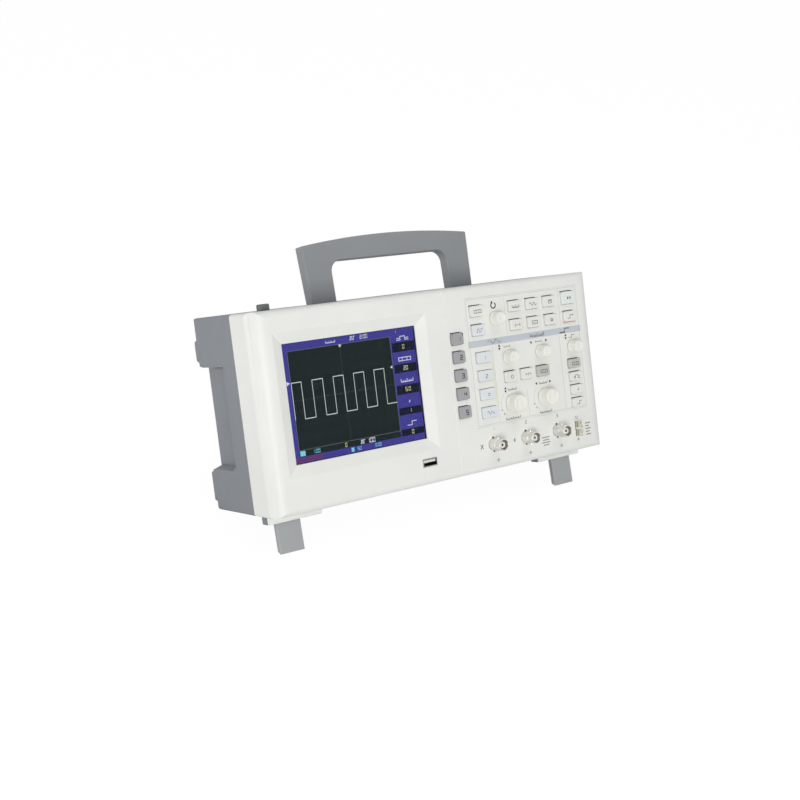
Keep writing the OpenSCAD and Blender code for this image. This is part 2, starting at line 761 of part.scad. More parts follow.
module recess(g) {
    low = recess_z0 - (g > 0 ? g + ledge : 0);
    for (s = [0, 1]) mirror([s, 0, 0]) translate([0, 0, low])
        linear_extrude(recess_z1 + g - low) recess_plan(g);
}

// rounded rear corners over and under each side hollow, and over the whole width of each bumper behind them
module lobe_cuts() {
    y = bump_y + 1;
    z1 = recess_z1 + lobe_r1;
    z0 = recess_z0 - ledge - lobe_r0;
    upper = concat(arc(bump_y - lobe_r1, z1, lobe_r1, 270),
        [[y, z1], [y, recess_z1 - 1], [bump_y - lobe_r1, recess_z1 - 1]]);
    lower = concat(arc(bump_y - lobe_r0, z0, lobe_r0, 0),
        [[bump_y - lobe_r0, recess_z0 + 1], [y, recess_z0 + 1], [y, z0]]);
    for (s = [0, 1], c = [[recess_in, 0, case_d], [bump_w + 4, case_d, y + 1]], p = [upper, lower])
        mirror([s, 0, 0]) intersection() {
            side_slab(case_w/2 - c[0], case_w/2 + 5) polygon(p);
            block([0, c[1], 0], [case_w, c[2], case_h]);
        }
}

// the ledge under each side hollow falls outwards
module ledge_cut() {
    x = case_w/2 - recess_in;
    for (s = [0, 1]) mirror([s, 0, 0]) front_slab(recess_y + recess_ramp, case_d + 30)
        polygon([[x, recess_z0], [case_w/2, recess_z0 - ledge], [case_w/2 + 5, recess_z0 - ledge],
            [case_w/2 + 5, recess_z0 + 1], [x, recess_z0 + 1]]);
}

// channels in the top that take the sides of the handle, wider where its rounded corners lie, grown by g
module handle_channel(g) {
    z = grip_z - grip_t/2 - grip_clear - g;
    for (s = [0, 1]) mirror([s, 0, 0]) {
        block([chan_in - g, grip_y - grip_t/2 - grip_clear - g, z], [chan_out + g, case_d + 30, case_h + 30]);
        block([chan_in - grip_r/2 - g, grip_y + grip_drop + grip_gap - grip_r - 0.5 - g, z],
            [chan_in + 1, case_d + 30, case_h + 30]);
    }
}

// side outline of a bumper from z0 to z1, with its own rounding below and above
function bump_side(z0, z1, low, top) = concat(arc(bump_y - top, z1 - top, top, 0),
    [[case_d - 12, z1], [case_d - 12, z0]], arc(bump_y - low, z0 + low, low, 270));

module rear_bumps() {
    x0 = case_w/2 - bump_w - 2;
    x1 = case_w/2 - 1;
    for (s = [0, 1], b = [[bump_z0, bump_z0 + bump_h0, bump_top], [bump_z1, bump_z1 + bump_h1, bump_r]])
        mirror([s, 0, 0]) intersection() {
            side_slab(x0, x1) polygon(bump_side(b[0], b[1], bump_low, b[2]));
            front_slab(case_d - 20, bump_y + 1) polygon(rounded(x0, x1, b[0], b[1], bump_turn));
            translate([0, 0, -far]) linear_extrude(2*far)
                polygon(rounded(x0, x1, case_d - 16, bump_y, bump_r));
        }
}

// outline of an ear beside a leg, under the bezel at its front
module ear_outline() {
    y0 = lip_front + block_lip + 0.2;
    y1 = bezel_d + block_ear;
    polygon([[y0, -block_h], [y1, -block_h], [y1, 1], [bezel_d, 1], [bezel_d, -0.2], [y0, -0.2]]);
}

module rear_case() {
    color("slategray") difference() {
        union() {
            difference() {
                rear_form(0, bezel_d);
                rear_form(wall, bezel_d - 1);
            }
            intersection() {
                rear_form(0, bezel_d);
                union() {
                    recess(wall);
                    handle_channel(wall);
                    for (x = [-screw_x, screw_x], z = screw_z)
                        rod_y(x, z, post_r + 0.4, chassis_y + plate_t, case_d + 1);
                }
            }
            rear_bumps();
            for (s = [0, 1]) mirror([s, 0, 0]) {
                side_slab(block_x0, leg_x - leg_w/2 - leg_clear) ear_outline();
                side_slab(leg_x + leg_w/2 + leg_clear, block_x1) ear_outline();
            }
        }
        recess(0);
        ledge_cut();
        lobe_cuts();
        handle_channel(0);
        for (s = [0, 1]) mirror([s, 0, 0]) {
            rod_x(grip_y, grip_z, grip_pin + run_gap, chan_in - wall - 1, chan_out + wall + 1);
            rod_x(leg_y, -leg_z, leg_pin + run_gap, block_x0 + 3, block_x1 - 2);
        }
        for (x = [-screw_x, screw_x], z = screw_z) {
            rod_y(x, z, screw_r + 0.2, chassis_y, bump_y + 1);
            rod_y(x, z, head_r + 0.4, head_y, bump_y + 1);
        }
        block([inlet_x - inlet_w/2 - wall, case_d - wall - 1, inlet_z - inlet_h/2 - wall],
            [inlet_x + inlet_w/2 + wall, case_d + 1, inlet_z + inlet_h/2 + wall]);
        for (i = [0:vent_n - 1]) block([vent_x + i*vent_pitch, case_d - wall - 1, vent_z],
            [vent_x + i*vent_pitch + vent_w, case_d + 1, vent_z + vent_h]);
    }
}

module ac_inlet() {
    w = inlet_w/2 + wall - 0.2;
    h = inlet_h/2 + wall - 0.2;
    color("black") translate([inlet_x, case_d, inlet_z]) difference() {
        union() {
            block([-w, -inlet_d + 0.5, -h], [w, 0.1, h]);
            block([-w - 3, 0, -h - 2.5], [w + 3, 2.5, h + 2.5]);
        }
        block([-inlet_w/2, 2.5 - inlet_d, -inlet_h/2], [inlet_w/2, 3, inlet_h/2]);
        for (p = inlet_pins) block([p[0] - 1.05, -inlet_d, p[1] - 2.05], [p[0] + 1.05, 0, p[1] + 2.05]);
    }
}

module ac_pins() {
    color("silver") translate([inlet_x, case_d, inlet_z]) for (p = inlet_pins)
        block([p[0] - 1, -inlet_d - 2, p[1] - 2], [p[0] + 1, -2, p[1] + 2]);
}

module rear_feet() {
    color("black") for (s = [-1, 1]) {
        difference() {
            block([s*foot_x - foot_w/2, foot_y - foot_d, -foot_h], [s*foot_x + foot_w/2, foot_y, 0]);
            under_table();
        }
    }
}

module case_screws() {
    color("silver") for (x = [-screw_x, screw_x], z = screw_z) {
        difference() {
            union() {
                rod_y(x, z, head_r, head_y, head_y + 2.6);
                rod_y(x, z, screw_r, chassis_y - screw_in, head_y + 0.1);
            }
            block([x - 2, head_y + 1.4, z - 0.5], [x + 2, head_y + 4, z + 0.5]);
            block([x - 0.5, head_y + 1.4, z - 2], [x + 0.5, head_y + 4, z + 2]);
        }
    }
}

module leg_pins() {
    color("silver") for (s = [0, 1]) mirror([s, 0, 0])
        rod_x(leg_y, -leg_z, leg_pin, block_x0 + 4, block_x1 - 2.2);
}

module handle_pins() {
    color("silver") for (s = [0, 1]) mirror([s, 0, 0])
        rod_x(grip_y, grip_z, grip_pin, chan_in - wall, chan_out + wall);
}

// outline of the handle in x and z above its pivot
function grip_top(x) = grip_drop + grip_h + grip_rise*(1 - pow(2*x/grip_w, 2));
module grip_outline() {
    w = grip_w/2;
    i = w - grip_side;
    top = grip_drop + grip_gap;
    r = grip_r;
    polygon(concat([[w, 0]], [for (k = [-12:12]) [-k/12*(w + grip_flare), grip_top(k/12*w)]],
        [[-w, 0], [-i, 0]],
        [for (a = [0:15:90]) [-i + r - r*cos(a), top - r + r*sin(a)]],
        [for (a = [90:-15:0]) [i - r + r*cos(a), top - r + r*sin(a)]], [[i, 0]]));
}

module handle() {
    color("gray") translate([0, grip_y, grip_z]) rotate([-grip_lean, 0, 0]) difference() {
        union() {
            front_slab(-grip_t/2, grip_t/2) grip_outline();
            for (s = [-1, 1]) rod_x(0, 0, grip_t/2, s*grip_x - grip_side/2, s*grip_x + grip_side/2);
        }
        rod_x(0, 0, grip_pin + run_gap, -grip_w, grip_w);
    }
}

module leg(x) {
    color("darkgray") difference() {
        translate([x, leg_y, -leg_z]) rotate([-leg_lean, 0, 0]) difference() {
            union() {
                block([-leg_w/2, -leg_t/2, -leg_drop - 4], [leg_w/2, leg_t/2, 0]);
                rod_x(0, 0, leg_eye, -leg_w/2, leg_w/2);
            }
            rod_x(0, 0, leg_pin + run_gap, -leg_w, leg_w);
        }
        under_table();
    }
}

module key(k) {
    color("lightgray") union() {
        key_prism(k, 0, -key_out, flange_y + 0.1);
        key_prism(k, flange_lip, flange_y, flange_y + flange_t);
        rod_y(k[1], k[2], 1.6, flange_y + flange_t - 0.1, stem_y);
    }
}

module knob(k) {
    r = k[3];
    h = k[4];
    g = knob_gap;
    color("white") translate([k[1], 0, k[2]]) rotate([90, 0, 0]) rotate_extrude()
        polygon([[0, 1.5 - board_y], [stem_r, 1.5 - board_y], [stem_r, g + 2], [bush_r + 0.4, g + 2],
            [bush_r + 0.4, g], [r, g], [r, g + 1.2], [r - 0.25, g + 1.8], [r - 0.45, h - 0.8],
            [r - 1.2, h], [0, h]]);
}

stand() {
    front_bezel();
    rear_case();
    control_overlay();
    screen_window();
    lcd_module();
    chassis();
    main_board();
    keypad_board();
    tact_switches();
    encoders();
    bnc_jacks();
    bnc_insulators();
    bnc_contacts();
    probe_terminals();
    usb_port();
    power_supply();
    power_switch();
    ac_inlet();
    ac_pins();
    rear_feet();
    case_screws();
    leg_pins();
    handle_pins();
    handle();
    leg(-leg_x);  // left_leg
    leg(leg_x);  // right_leg
    power_button();
    for (k = KEYS) key(k);
    for (k = KNOBS) knob(k);
}
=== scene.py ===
"""Looks of a bench oscilloscope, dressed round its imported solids.

Everything is in metres in the shared frame. The front panel is drawn in millimetres on the upright
case (x right, y to the rear, z up, front face at y = 0) and UPRIGHT leans it back into place.
"""

import json
import math

import bmesh
import bpy
from mathutils import Matrix, Vector


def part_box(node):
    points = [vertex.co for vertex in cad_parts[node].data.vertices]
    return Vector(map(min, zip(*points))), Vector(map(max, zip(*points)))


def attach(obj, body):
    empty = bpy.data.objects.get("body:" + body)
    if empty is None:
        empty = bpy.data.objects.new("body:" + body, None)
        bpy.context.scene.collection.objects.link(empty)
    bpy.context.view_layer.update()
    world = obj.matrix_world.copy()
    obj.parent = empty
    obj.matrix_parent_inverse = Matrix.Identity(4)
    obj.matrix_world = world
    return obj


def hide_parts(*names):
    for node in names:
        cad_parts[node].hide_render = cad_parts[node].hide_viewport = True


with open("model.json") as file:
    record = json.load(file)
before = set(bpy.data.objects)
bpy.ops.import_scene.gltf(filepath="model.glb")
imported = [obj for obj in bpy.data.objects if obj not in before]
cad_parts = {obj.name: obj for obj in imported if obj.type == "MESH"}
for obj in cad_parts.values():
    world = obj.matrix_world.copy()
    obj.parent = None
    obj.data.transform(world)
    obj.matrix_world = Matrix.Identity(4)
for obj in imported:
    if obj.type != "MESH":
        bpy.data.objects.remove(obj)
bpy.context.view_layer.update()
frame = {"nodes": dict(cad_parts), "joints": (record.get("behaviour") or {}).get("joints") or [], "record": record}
nodes = frame["nodes"]
joint_of = {j["child"]: j for j in frame["joints"]}
slot_of = {s["node"]: s["material_slot"] for s in frame["record"]["subparts"]}
body_of_node = {n: b for b, members in frame["record"]["behaviour"]["bodies"].items() for n in members}

# the lean of the case, from the way its keys move, and its place, from the pivot of the handle
PIVOT = Vector((0, 57.5, 139.5))
press_axis = joint_of["menu_key_1"]["axis"]
LEAN = math.atan2(-press_axis[2], press_axis[1])
TURN = Matrix.Rotation(-LEAN, 4, "X")
PLACE = Vector(joint_of["handle"]["pos_m"]) - TURN @ (PIVOT * 0.001)
UPRIGHT = Matrix.Translation(PLACE) @ TURN @ Matrix.Scale(0.001, 4)

# sizes of the front, in millimetres, as in the solids
LCD = {"x": -78.3, "z": 77.6, "w": 115.2, "h": 86.4, "y": 5.6}
KEY_OUT = 2.0
KNOB_GAP = 0.8
STEM_R = 2.95
BUSH_R = 3.9
STEM_IN = 9.0
# the ridges on a knob: radius, how far in they sit, and their ends from its foot and from its top
RIDGE_R, RIDGE_IN, RIDGE_FOOT, RIDGE_HEAD = 0.23, 0.64, 2.5, 1.7
# each knob's place along x and z, its radius and how far it stands out
KNOBS = {
    "multi_knob": (54.8, 118.0, 5.4, 10.0),
    "vertical_position_knob": (64.1, 86.0, 5.4, 10.0),
    "horizontal_position_knob": (98.3, 86.0, 5.4, 10.0),
    "trigger_knob": (133.3, 86.0, 5.4, 10.0),
    "vertical_scale_knob": (64.1, 48.8, 7.4, 11.0),
    "horizontal_scale_knob": (98.3, 48.8, 7.4, 11.0),
}
JACKS = [40.5, 74.2, 107.9]
JACK_Z = 19.2
NOTCH_AT, NOTCH_R = 5.1, 1.1
# the port's opening and its tongue (left, lower, right and upper edge), the thickness of the black sheets that
# paint the shade on its walls, and its end
PORT_HOLE = (-28.78, 13.52, -16.42, 18.48)
PORT_TONGUE = (-28.25, 16.16, -16.95, 18.04)
PORT_SHADE_SHEET, PORT_END = 0.06, 12.4
# front and back of the ink on the panel and of the legends on the keys, along y
INK_Y = (-0.045, -0.004)
LEGEND_Y = (-KEY_OUT - 0.04, -KEY_OUT + 0.02)
# where the shells' edges stay sharp, along x, y and z: inside them, and round the jacks
FRONT_SHARP = (((-157.0, 157.0), (2.5, 60.0), (2.0, 142.5)), ((36.0, 138.5), (-1.0, 3.0), (10.0, 28.0)))
REAR_SHARP = (((-147.0, 147.0), (30.0, 91.5), (4.0, 128.0)),)


def srgb(r, g, b):
    """Linear colour of a display colour given from 0 to 255."""
    parts = (r / 255, g / 255, b / 255)
    return tuple(c / 12.92 if c <= 0.04045 else ((c + 0.055) / 1.055) ** 2.4 for c in parts)


# materials


def add(tree, kind, **values):
    """A new node, with its properties in lower case and its input sockets in title case."""
    made = tree.nodes.new(kind)
    for key, value in values.items():
        name = key.replace("_", " ")
        if key[0].isupper():
            made.inputs[name].default_value = value
        else:
            setattr(made, key, value)
    return made


def join(tree, a, out, b, into):
    tree.links.new(a.outputs[out], b.inputs[into])


def shader(name):
    """A new material with its tree and its main shader."""
    mat = bpy.data.materials.new(name)
    mat.use_nodes = True
    return mat, mat.node_tree, mat.node_tree.nodes["Principled BSDF"]


def noise(tree, place, scale, detail=3.0, stretch=None):
    """Noise on object coordinates, drawn out along an axis where stretch says so."""
    made = add(tree, "ShaderNodeTexNoise", Scale=scale, Detail=detail)
    if stretch:
        mapping = add(tree, "ShaderNodeMapping", Scale=stretch)
        join(tree, place, "Object", mapping, "Vector")
        join(tree, mapping, "Vector", made, "Vector")
    else:
        join(tree, place, "Object", made, "Vector")
    return made


def spread(tree, source, out, low, high, floor=0.3, top=0.7):
    """Maps a pattern to the range from low to high."""
    made = add(tree, "ShaderNodeMapRange")
    for i, v in enumerate((floor, top, low, high), 1):
        made.inputs[i].default_value = v
    join(tree, source, out, made, "Value")
    return made


def blend_colour(tree, factor, out, first, second):
    """Mixes two colours, or two nodes' colours, by a pattern."""
    mix = add(tree, "ShaderNodeMix", data_type="RGBA")
    join(tree, factor, out, mix, 0)
    for socket, value in ((6, first), (7, second)):
        if isinstance(value, tuple):
            mix.inputs[socket].default_value = (*value, 1)
        else:
            tree.links.new(value.outputs[2], mix.inputs[socket])
    return mix


def shade(colour, k):
    return tuple(min(1.0, c * k) for c in colour)


def edge_highlight(tree, radius):
    """A mask that is 1 along outer edges and 0 on flats, for the highlight painted along them."""
    soft = add(tree, "ShaderNodeBevel", samples=4, Radius=radius)
    flat = add(tree, "ShaderNodeNewGeometry")
    dot = add(tree, "ShaderNodeVectorMath", operation="DOT_PRODUCT")
    join(tree, soft, "Normal", dot, 0)
    join(tree, flat, "Normal", dot, 1)
    return spread(tree, dot, "Value", 1.0, 0.0, 0.90, 0.995)


def mottled(tree, pattern, colour, low, high, *ends):
    """The colour made darker and lighter by the pattern's own values, between its ends."""
    share = spread(tree, pattern, "Fac", 0.0, 1.0, *ends)
    return blend_colour(tree, share, "Result", shade(colour, low), shade(colour, high))


def moulded(name, colour, rough=0.5, grain=2600.0, depth=0.06, vary=0.025, highlight=1.05, level=0.4):
    """Moulded plastic: a fine spark-eroded grain, clouds in the colour, outer edges painted lighter as a
    highlight.
    """
    mat, tree, main = shader(name)
    place = add(tree, "ShaderNodeTexCoord")
    cloud = noise(tree, place, 22.0, 4.0)
    tone = mottled(tree, cloud, colour, 1 - vary, 1 + vary)
    # painted highlight: the colour made lighter along outer edges
    tint = blend_colour(tree, edge_highlight(tree, 0.0007), "Result", tone, shade(colour, highlight))
    tree.links.new(tint.outputs[2], main.inputs["Base Color"])
    fine = noise(tree, place, grain, 2.0)
    patch = noise(tree, place, 70.0, 3.0)
    join(tree, spread(tree, patch, "Fac", rough - 0.05, rough + 0.05), "Result", main, "Roughness")
    bump = add(tree, "ShaderNodeBump", Strength=depth, Distance=0.0002)
    join(tree, fine, "Fac", bump, "Height")
    join(tree, bump, "Normal", main, "Normal")
    main.inputs["Specular IOR Level"].default_value = level
    return mat


def metal(name, colour, rough=0.25, stretch=(1, 1, 1), scale=900.0, depth=0.05):
    """Plated or sheet metal: fine lines along one axis and a cloudy gloss."""
    mat, tree, main = shader(name)
    place = add(tree, "ShaderNodeTexCoord")
    lines = noise(tree, place, scale, 3.0, stretch)
    cloud = noise(tree, place, 120.0, 3.0)
    tone = mottled(tree, cloud, colour, 0.9, 1.06)
    tree.links.new(tone.outputs[2], main.inputs["Base Color"])
    join(tree, spread(tree, lines, "Fac", rough - 0.07, rough + 0.09), "Result", main, "Roughness")
    bump = add(tree, "ShaderNodeBump", Strength=depth, Distance=0.0001)
    join(tree, lines, "Fac", bump, "Height")
    join(tree, bump, "Normal", main, "Normal")
    main.inputs["Metallic"].default_value = 1.0
    return mat


def ink(name, colour, rough=0.55):
    """Screen-printed ink with a slightly uneven coat."""
    mat, tree, main = shader(name)
    place = add(tree, "ShaderNodeTexCoord")
    coat = noise(tree, place, 1500.0, 2.0)
    tone = mottled(tree, coat, colour, 0.94, 1.06)
    tree.links.new(tone.outputs[2], main.inputs["Base Color"])
    join(tree, spread(tree, coat, "Fac", rough - 0.06, rough + 0.06), "Result", main, "Roughness")
    main.inputs["Specular IOR Level"].default_value = 0.3
    return mat


def lit(name, colour, level=1.0):
    """Lit dots of the display, with the fine stripes of its colour filter."""
    mat, tree, main = shader(name)
    place = add(tree, "ShaderNodeTexCoord")
    stripes = add(tree, "ShaderNodeTexWave", bands_direction="X", Scale=440.0)
    join(tree, place, "Object", stripes, "Vector")
    tone = mottled(tree, stripes, colour, 0.88, 1.08, 0.0, 1.0)
    tree.links.new(tone.outputs[2], main.inputs["Emission Color"])
    main.inputs["Emission Strength"].default_value = level
    main.inputs["Base Color"].default_value = (0.004, 0.004, 0.005, 1)
    main.inputs["Roughness"].default_value = 0.6
    main.inputs["Specular IOR Level"].default_value = 0.0
    return mat


def clear(name):
    """The clear window over the display, with faint wipe marks in its gloss."""
    mat, tree, main = shader(name)
    place = add(tree, "ShaderNodeTexCoord")
    wipe = noise(tree, place, 30.0, 4.0, (1.0, 0.3, 3.0))
    join(tree, spread(tree, wipe, "Fac", 0.015, 0.05), "Result", main, "Roughness")
    main.inputs["Base Color"].default_value = (0.97, 0.98, 0.99, 1)
    main.inputs["Transmission Weight"].default_value = 1.0
    main.inputs["IOR"].default_value = 1.06
    return mat


def board(name, colour, trace):
    """Solder mask with the paler tracks of a circuit board under it."""
    mat, tree, main = shader(name)
    place = add(tree, "ShaderNodeTexCoord")
    tracks = add(tree, "ShaderNodeTexBrick", Scale=260.0, Mortar_Size=0.06)
    join(tree, place, "Object", tracks, "Vector")
    tone = blend_colour(tree, tracks, "Fac", colour, trace)
    tree.links.new(tone.outputs[2], main.inputs["Base Color"])
    cloud = noise(tree, place, 90.0)
    join(tree, spread(tree, cloud, "Fac", 0.3, 0.45), "Result", main, "Roughness")
    return mat


WHITE = moulded("bezel_white", srgb(233, 234, 229), 0.45, depth=0.05)
PANEL = moulded("overlay_white", srgb(233, 234, 229), 0.5, 1800.0, 0.04, 0.015)
GREY = moulded("case_grey", srgb(129, 133, 139), 0.55, depth=0.09)
GRIP = moulded("handle_grey", srgb(140, 144, 147), 0.5, depth=0.08)
LEG = moulded("leg_grey", srgb(168, 171, 172), 0.5, depth=0.08)
SOFT = moulded("soft_key_grey", srgb(164, 163, 167), 0.55, 3200.0, 0.07)
KEY = moulded("key_white", srgb(232, 232, 227), 0.5, 3200.0, 0.05)
KEY_BLUE = moulded("key_pale_blue", srgb(222, 226, 228), 0.5, 3200.0, 0.05)
KEY_RUN = moulded("key_run_blue", srgb(228, 234, 229), 0.5, 3200.0, 0.05)
KEY_DARK = moulded("key_shaded", srgb(196, 197, 189), 0.5, 3200.0, 0.05)
KNOB = moulded("knob_ivory", srgb(238, 237, 230), 0.42, 2200.0, 0.04)
BUTTON = moulded("power_button_grey", srgb(98, 99, 102), 0.5)
BLACK = moulded("connector_black", srgb(24, 24, 26), 0.45)
RUBBER = moulded("foot_rubber", srgb(30, 30, 31), 0.75, 1500.0, 0.2, 0.08)
TONGUE = moulded("port_tongue", srgb(226, 226, 222), 0.4)
INSULATOR = moulded("jack_insulator", srgb(232, 230, 224), 0.35, 1200.0, 0.03)
NICKEL = metal("jack_nickel", (0.78, 0.76, 0.73), 0.3, (1, 6, 1))
STEEL = metal("port_steel", (0.46, 0.46, 0.47), 0.32, (1, 8, 1))
PALE = metal("terminal_plating", (0.78, 0.74, 0.63), 0.34, (1, 5, 1))
# the colour of brass darkened as painted shade of the deep bore round each jack's centre contact
SHADED_BRASS = metal("contact_dark", (0.16, 0.13, 0.09), 0.4, (1, 5, 1))
PLATE = metal("chassis_plate", (0.66, 0.67, 0.68), 0.38, (12, 1, 1), 300.0)
BOARD = board("circuit_green", (0.02, 0.11, 0.05), (0.05, 0.2, 0.09))
SUPPLY = board("supply_board", (0.22, 0.14, 0.06), (0.36, 0.25, 0.12))
INK_DARK = ink("print_dark", srgb(78, 78, 80))
INK_BLACK = ink("print_black", srgb(44, 44, 46))
# painted shadow: dark ink standing for the shade in the gaps above the keys and left of the test terminals
PAINTED_SHADOW = ink("key_gap_dark", srgb(66, 64, 60), 0.8)
INK_GREY = ink("print_grey", srgb(140, 141, 141))
INK_LINE = ink("print_line", srgb(203, 204, 199))
INK_BAND = ink("print_band", srgb(194, 201, 207))
INK_BLUE = ink("print_blue", srgb(122, 127, 156))
INK_RED = ink("print_red", srgb(226, 158, 140))
INK_LIME = ink("print_lime", srgb(222, 226, 198))
GLASS = clear("screen_clear")
LIT_BLUE = lit("lit_blue", srgb(66, 62, 142))
LIT_PLUM = lit("lit_plum", srgb(96, 58, 112))
LIT_BLACK = lit("lit_black", srgb(30, 38, 38))
LIT_CELL = lit("lit_cell", srgb(26, 30, 44))
LIT_GRID = lit("lit_grid", srgb(92, 108, 104))
LIT_TRACE = lit("lit_trace", srgb(214, 228, 222))
LIT_TEXT = lit("lit_text", srgb(214, 216, 234))
LIT_CYAN = lit("lit_cyan", srgb(120, 206, 224))
LIT_AMBER = lit("lit_amber", srgb(206, 206, 150))


# mesh helpers

# in metres: points nearer than MERGE are one, edges under SPECK go, faces thinner than SLIVER don't count
MERGE, SPECK, SLIVER = 4e-6, 2e-6, 5e-5
# faces that turn by less than this many degrees are one flat
FLAT = 0.4


def mesh_from(name, verts, faces, mats, tags=None):
    """A mesh from plain lists, with a material for each face."""
    mesh = bpy.data.meshes.new(name)
    mesh.from_pydata(verts, [], faces)
    for m in mats:
        mesh.materials.append(m)
    if tags:
        mesh.polygons.foreach_set("material_index", tags)
    mesh.validate()
    return mesh


def smooth(mesh, angle=35.0):
    """Shades a mesh smooth, with its real corners kept sharp."""
    mesh.polygons.foreach_set("use_smooth", [True] * len(mesh.polygons))
    mesh.set_sharp_from_angle(angle=math.radians(angle))
    mesh.update()


def baked(mesh, name, modifiers):
    """The mesh with its modifiers applied; each is a kind and its settings."""
    obj = bpy.data.objects.new(name + "_work", mesh)
    bpy.context.scene.collection.objects.link(obj)
    for kind, settings in modifiers:
        mod = obj.modifiers.new(kind.lower(), kind)
        for key, value in settings.items():
            setattr(mod, key, value)
    dg = bpy.context.evaluated_depsgraph_get()
    made = bpy.data.meshes.new_from_object(obj.evaluated_get(dg))
    made.name = name
    bpy.data.objects.remove(obj)
    return made


def in_boxes(point, boxes):
    return any(all(low < c < high for c, (low, high) in zip(point, box)) for box in boxes)


def sliver(face):
    """Whether a face is too thin for its normal to mean anything."""
    return 2 * face.calc_area() < SLIVER * max(e.calc_length() for e in face.edges)


def solid_copy(node, mat, bevel=0.0, segments=2, angle=32.0, sharp=(), flats=False):
    """A merged copy of a solid in metres, with its outer edges eased, but not inside the sharp boxes.

    Flats are made one face each only where asked, since such a face may fill a hole that it goes round.
    """
    source = nodes[node].data
    bm = bmesh.new()
    made = [bm.verts.new(v.co) for v in source.vertices]
    for p in source.polygons:
        try:
            bm.faces.new([made[i] for i in p.vertices])
        except ValueError:
            pass
    bmesh.ops.remove_doubles(bm, verts=bm.verts, dist=MERGE)
    bmesh.ops.dissolve_degenerate(bm, edges=bm.edges, dist=SPECK)
    if flats:
        bmesh.ops.dissolve_limit(bm, angle_limit=math.radians(FLAT), verts=bm.verts, edges=bm.edges)
    back = UPRIGHT.inverted()
    weight = bm.edges.layers.float.new("bevel_weight_edge")
    for e in bm.edges:
        sound = len(e.link_faces) == 2 and not any(sliver(f) for f in e.link_faces)
        turn = e.calc_face_angle_signed(0.0) if sound else 0.0
        middle = back @ ((e.verts[0].co + e.verts[1].co) / 2)
        e[weight] = float(turn > math.radians(angle) and not in_boxes(middle, sharp))
    mesh = bpy.data.meshes.new(node + "_copy")
    bm.to_mesh(mesh)
    bm.free()
    mesh.materials.append(mat)
    smooth(mesh, angle)
    if bevel:
        mesh = baked(mesh, node + "_eased", [("BEVEL", {
            "width": bevel * 0.001, "segments": segments, "limit_method": "WEIGHT",
            "use_clamp_overlap": False, "miter_outer": "MITER_ARC", "face_strength_mode": "FSTR_ALL"}),
            ("WEIGHTED_NORMAL", {"keep_sharp": True, "weight": 50, "use_face_influence": True})])
    return mesh


def together(name, meshes):
    """Joins meshes into one, with their materials kept."""
    verts, faces, mats, tags, soft, sharp = [], [], [], [], [], set()
    for mesh in meshes:
        base = len(verts)
        index = []
        for m in mesh.materials:
            if m not in mats:
                mats.append(m)
            index.append(mats.index(m))
        verts += [v.co.copy() for v in mesh.vertices]
        for p in mesh.polygons:
            faces.append([base + i for i in p.vertices])
            tags.append(index[p.material_index])
            soft.append(p.use_smooth)
        marks = mesh.attributes.get("sharp_edge")
        if marks:
            for e in mesh.edges:
                if marks.data[e.index].value:
                    sharp.add((base + min(e.vertices), base + max(e.vertices)))
    made = mesh_from(name, verts, faces, mats, tags)
    made.polygons.foreach_set("use_smooth", soft)
    marks = made.attributes.get("sharp_edge") or made.attributes.new("sharp_edge", "BOOLEAN", "EDGE")
    for e in made.edges:
        if (min(e.vertices), max(e.vertices)) in sharp:
            marks.data[e.index].value = True
    made.update()
    return made


def leaned(mesh):
    """Moves a mesh drawn in millimetres on the upright case to its place in the frame."""
    mesh.transform(UPRIGHT)
    mesh.update()
    return mesh


def piece(name, mesh, body, stands_for=()):
    """An object at the origin that rides on a body."""
    obj = bpy.data.objects.new(name, mesh)
    bpy.context.scene.collection.objects.link(obj)
    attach(obj, body)
    if stands_for:
        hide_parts(*stands_for)
    return obj


def dressed(node, mat, bevel=0.0, segments=2, angle=32.0, extra=(), sharp=(), flats=False):
    """Replaces a solid by its eased copy and whatever is drawn on it."""
    mesh = solid_copy(node, mat, bevel, segments, angle, sharp, flats)
    if extra:
        mesh = together(node + "_dressed", [mesh, *extra])
    return piece(node + "_skin", mesh, body_of_node[node], (node,))


# flat drawing on the front: outlines are lists of (x, z), anticlockwise as seen from the front


def prisms(name, outlines, y0, y1, mat):
    """Thin closed prisms from y0 at the front to y1 behind."""
    verts, faces = [], []
    for line in outlines:
        area = sum(a[0] * b[1] - b[0] * a[1] for a, b in zip(line, line[1:] + line[:1]))
        pts = line if area > 0 else line[::-1]
        n, base = len(pts), len(verts)
        verts += [(x, y0, z) for x, z in pts] + [(x, y1, z) for x, z in pts]
        faces.append([base + i for i in range(n)])
        faces.append([base + n + i for i in reversed(range(n))])
        for i in range(n):
            k = (i + 1) % n
            faces.append([base + i, base + n + i, base + n + k, base + k])
    return mesh_from(name, verts, faces, [mat])


def rect(x0, z0, x1, z1):
    return [(x0, z0), (x1, z0), (x1, z1), (x0, z1)]


def stroke(points, w, closed=False):
    """A line of width w along points, as four-sided outlines with mitred corners."""
    pts = [Vector(p) for p in points]
    n = len(pts)
    sides = []
    for i, p in enumerate(pts):
        before = pts[i - 1] if i or closed else None
        after = pts[(i + 1) % n] if i < n - 1 or closed else None
        d0 = (p - before).normalized() if before is not None else (after - p).normalized()
        d1 = (after - p).normalized() if after is not None else d0
        t = (d0 + d1).normalized() if (d0 + d1).length > 1e-6 else d0
        normal = Vector((-t.y, t.x))
        reach = w / 2 / max(0.45, abs(normal.dot(Vector((-d0.y, d0.x)))))
        sides.append((p + normal * reach, p - normal * reach))
    spans = range(n if closed else n - 1)
    quads = []
    for i in spans:
        (a, b), (c, d) = sides[i], sides[(i + 1) % n]
        quads.append([tuple(b), tuple(d), tuple(c), tuple(a)])
    return quads


def arc_points(x, z, r, a0, a1, n=14):
    angles = [math.radians(a0 + (a1 - a0) * i / n) for i in range(n + 1)]
    return [(x + r * math.cos(a), z + r * math.sin(a)) for a in angles]


def disc(x, z, r, n=20):
    return arc_points(x, z, r, 0, 360 * (n - 1) / n, n - 1)


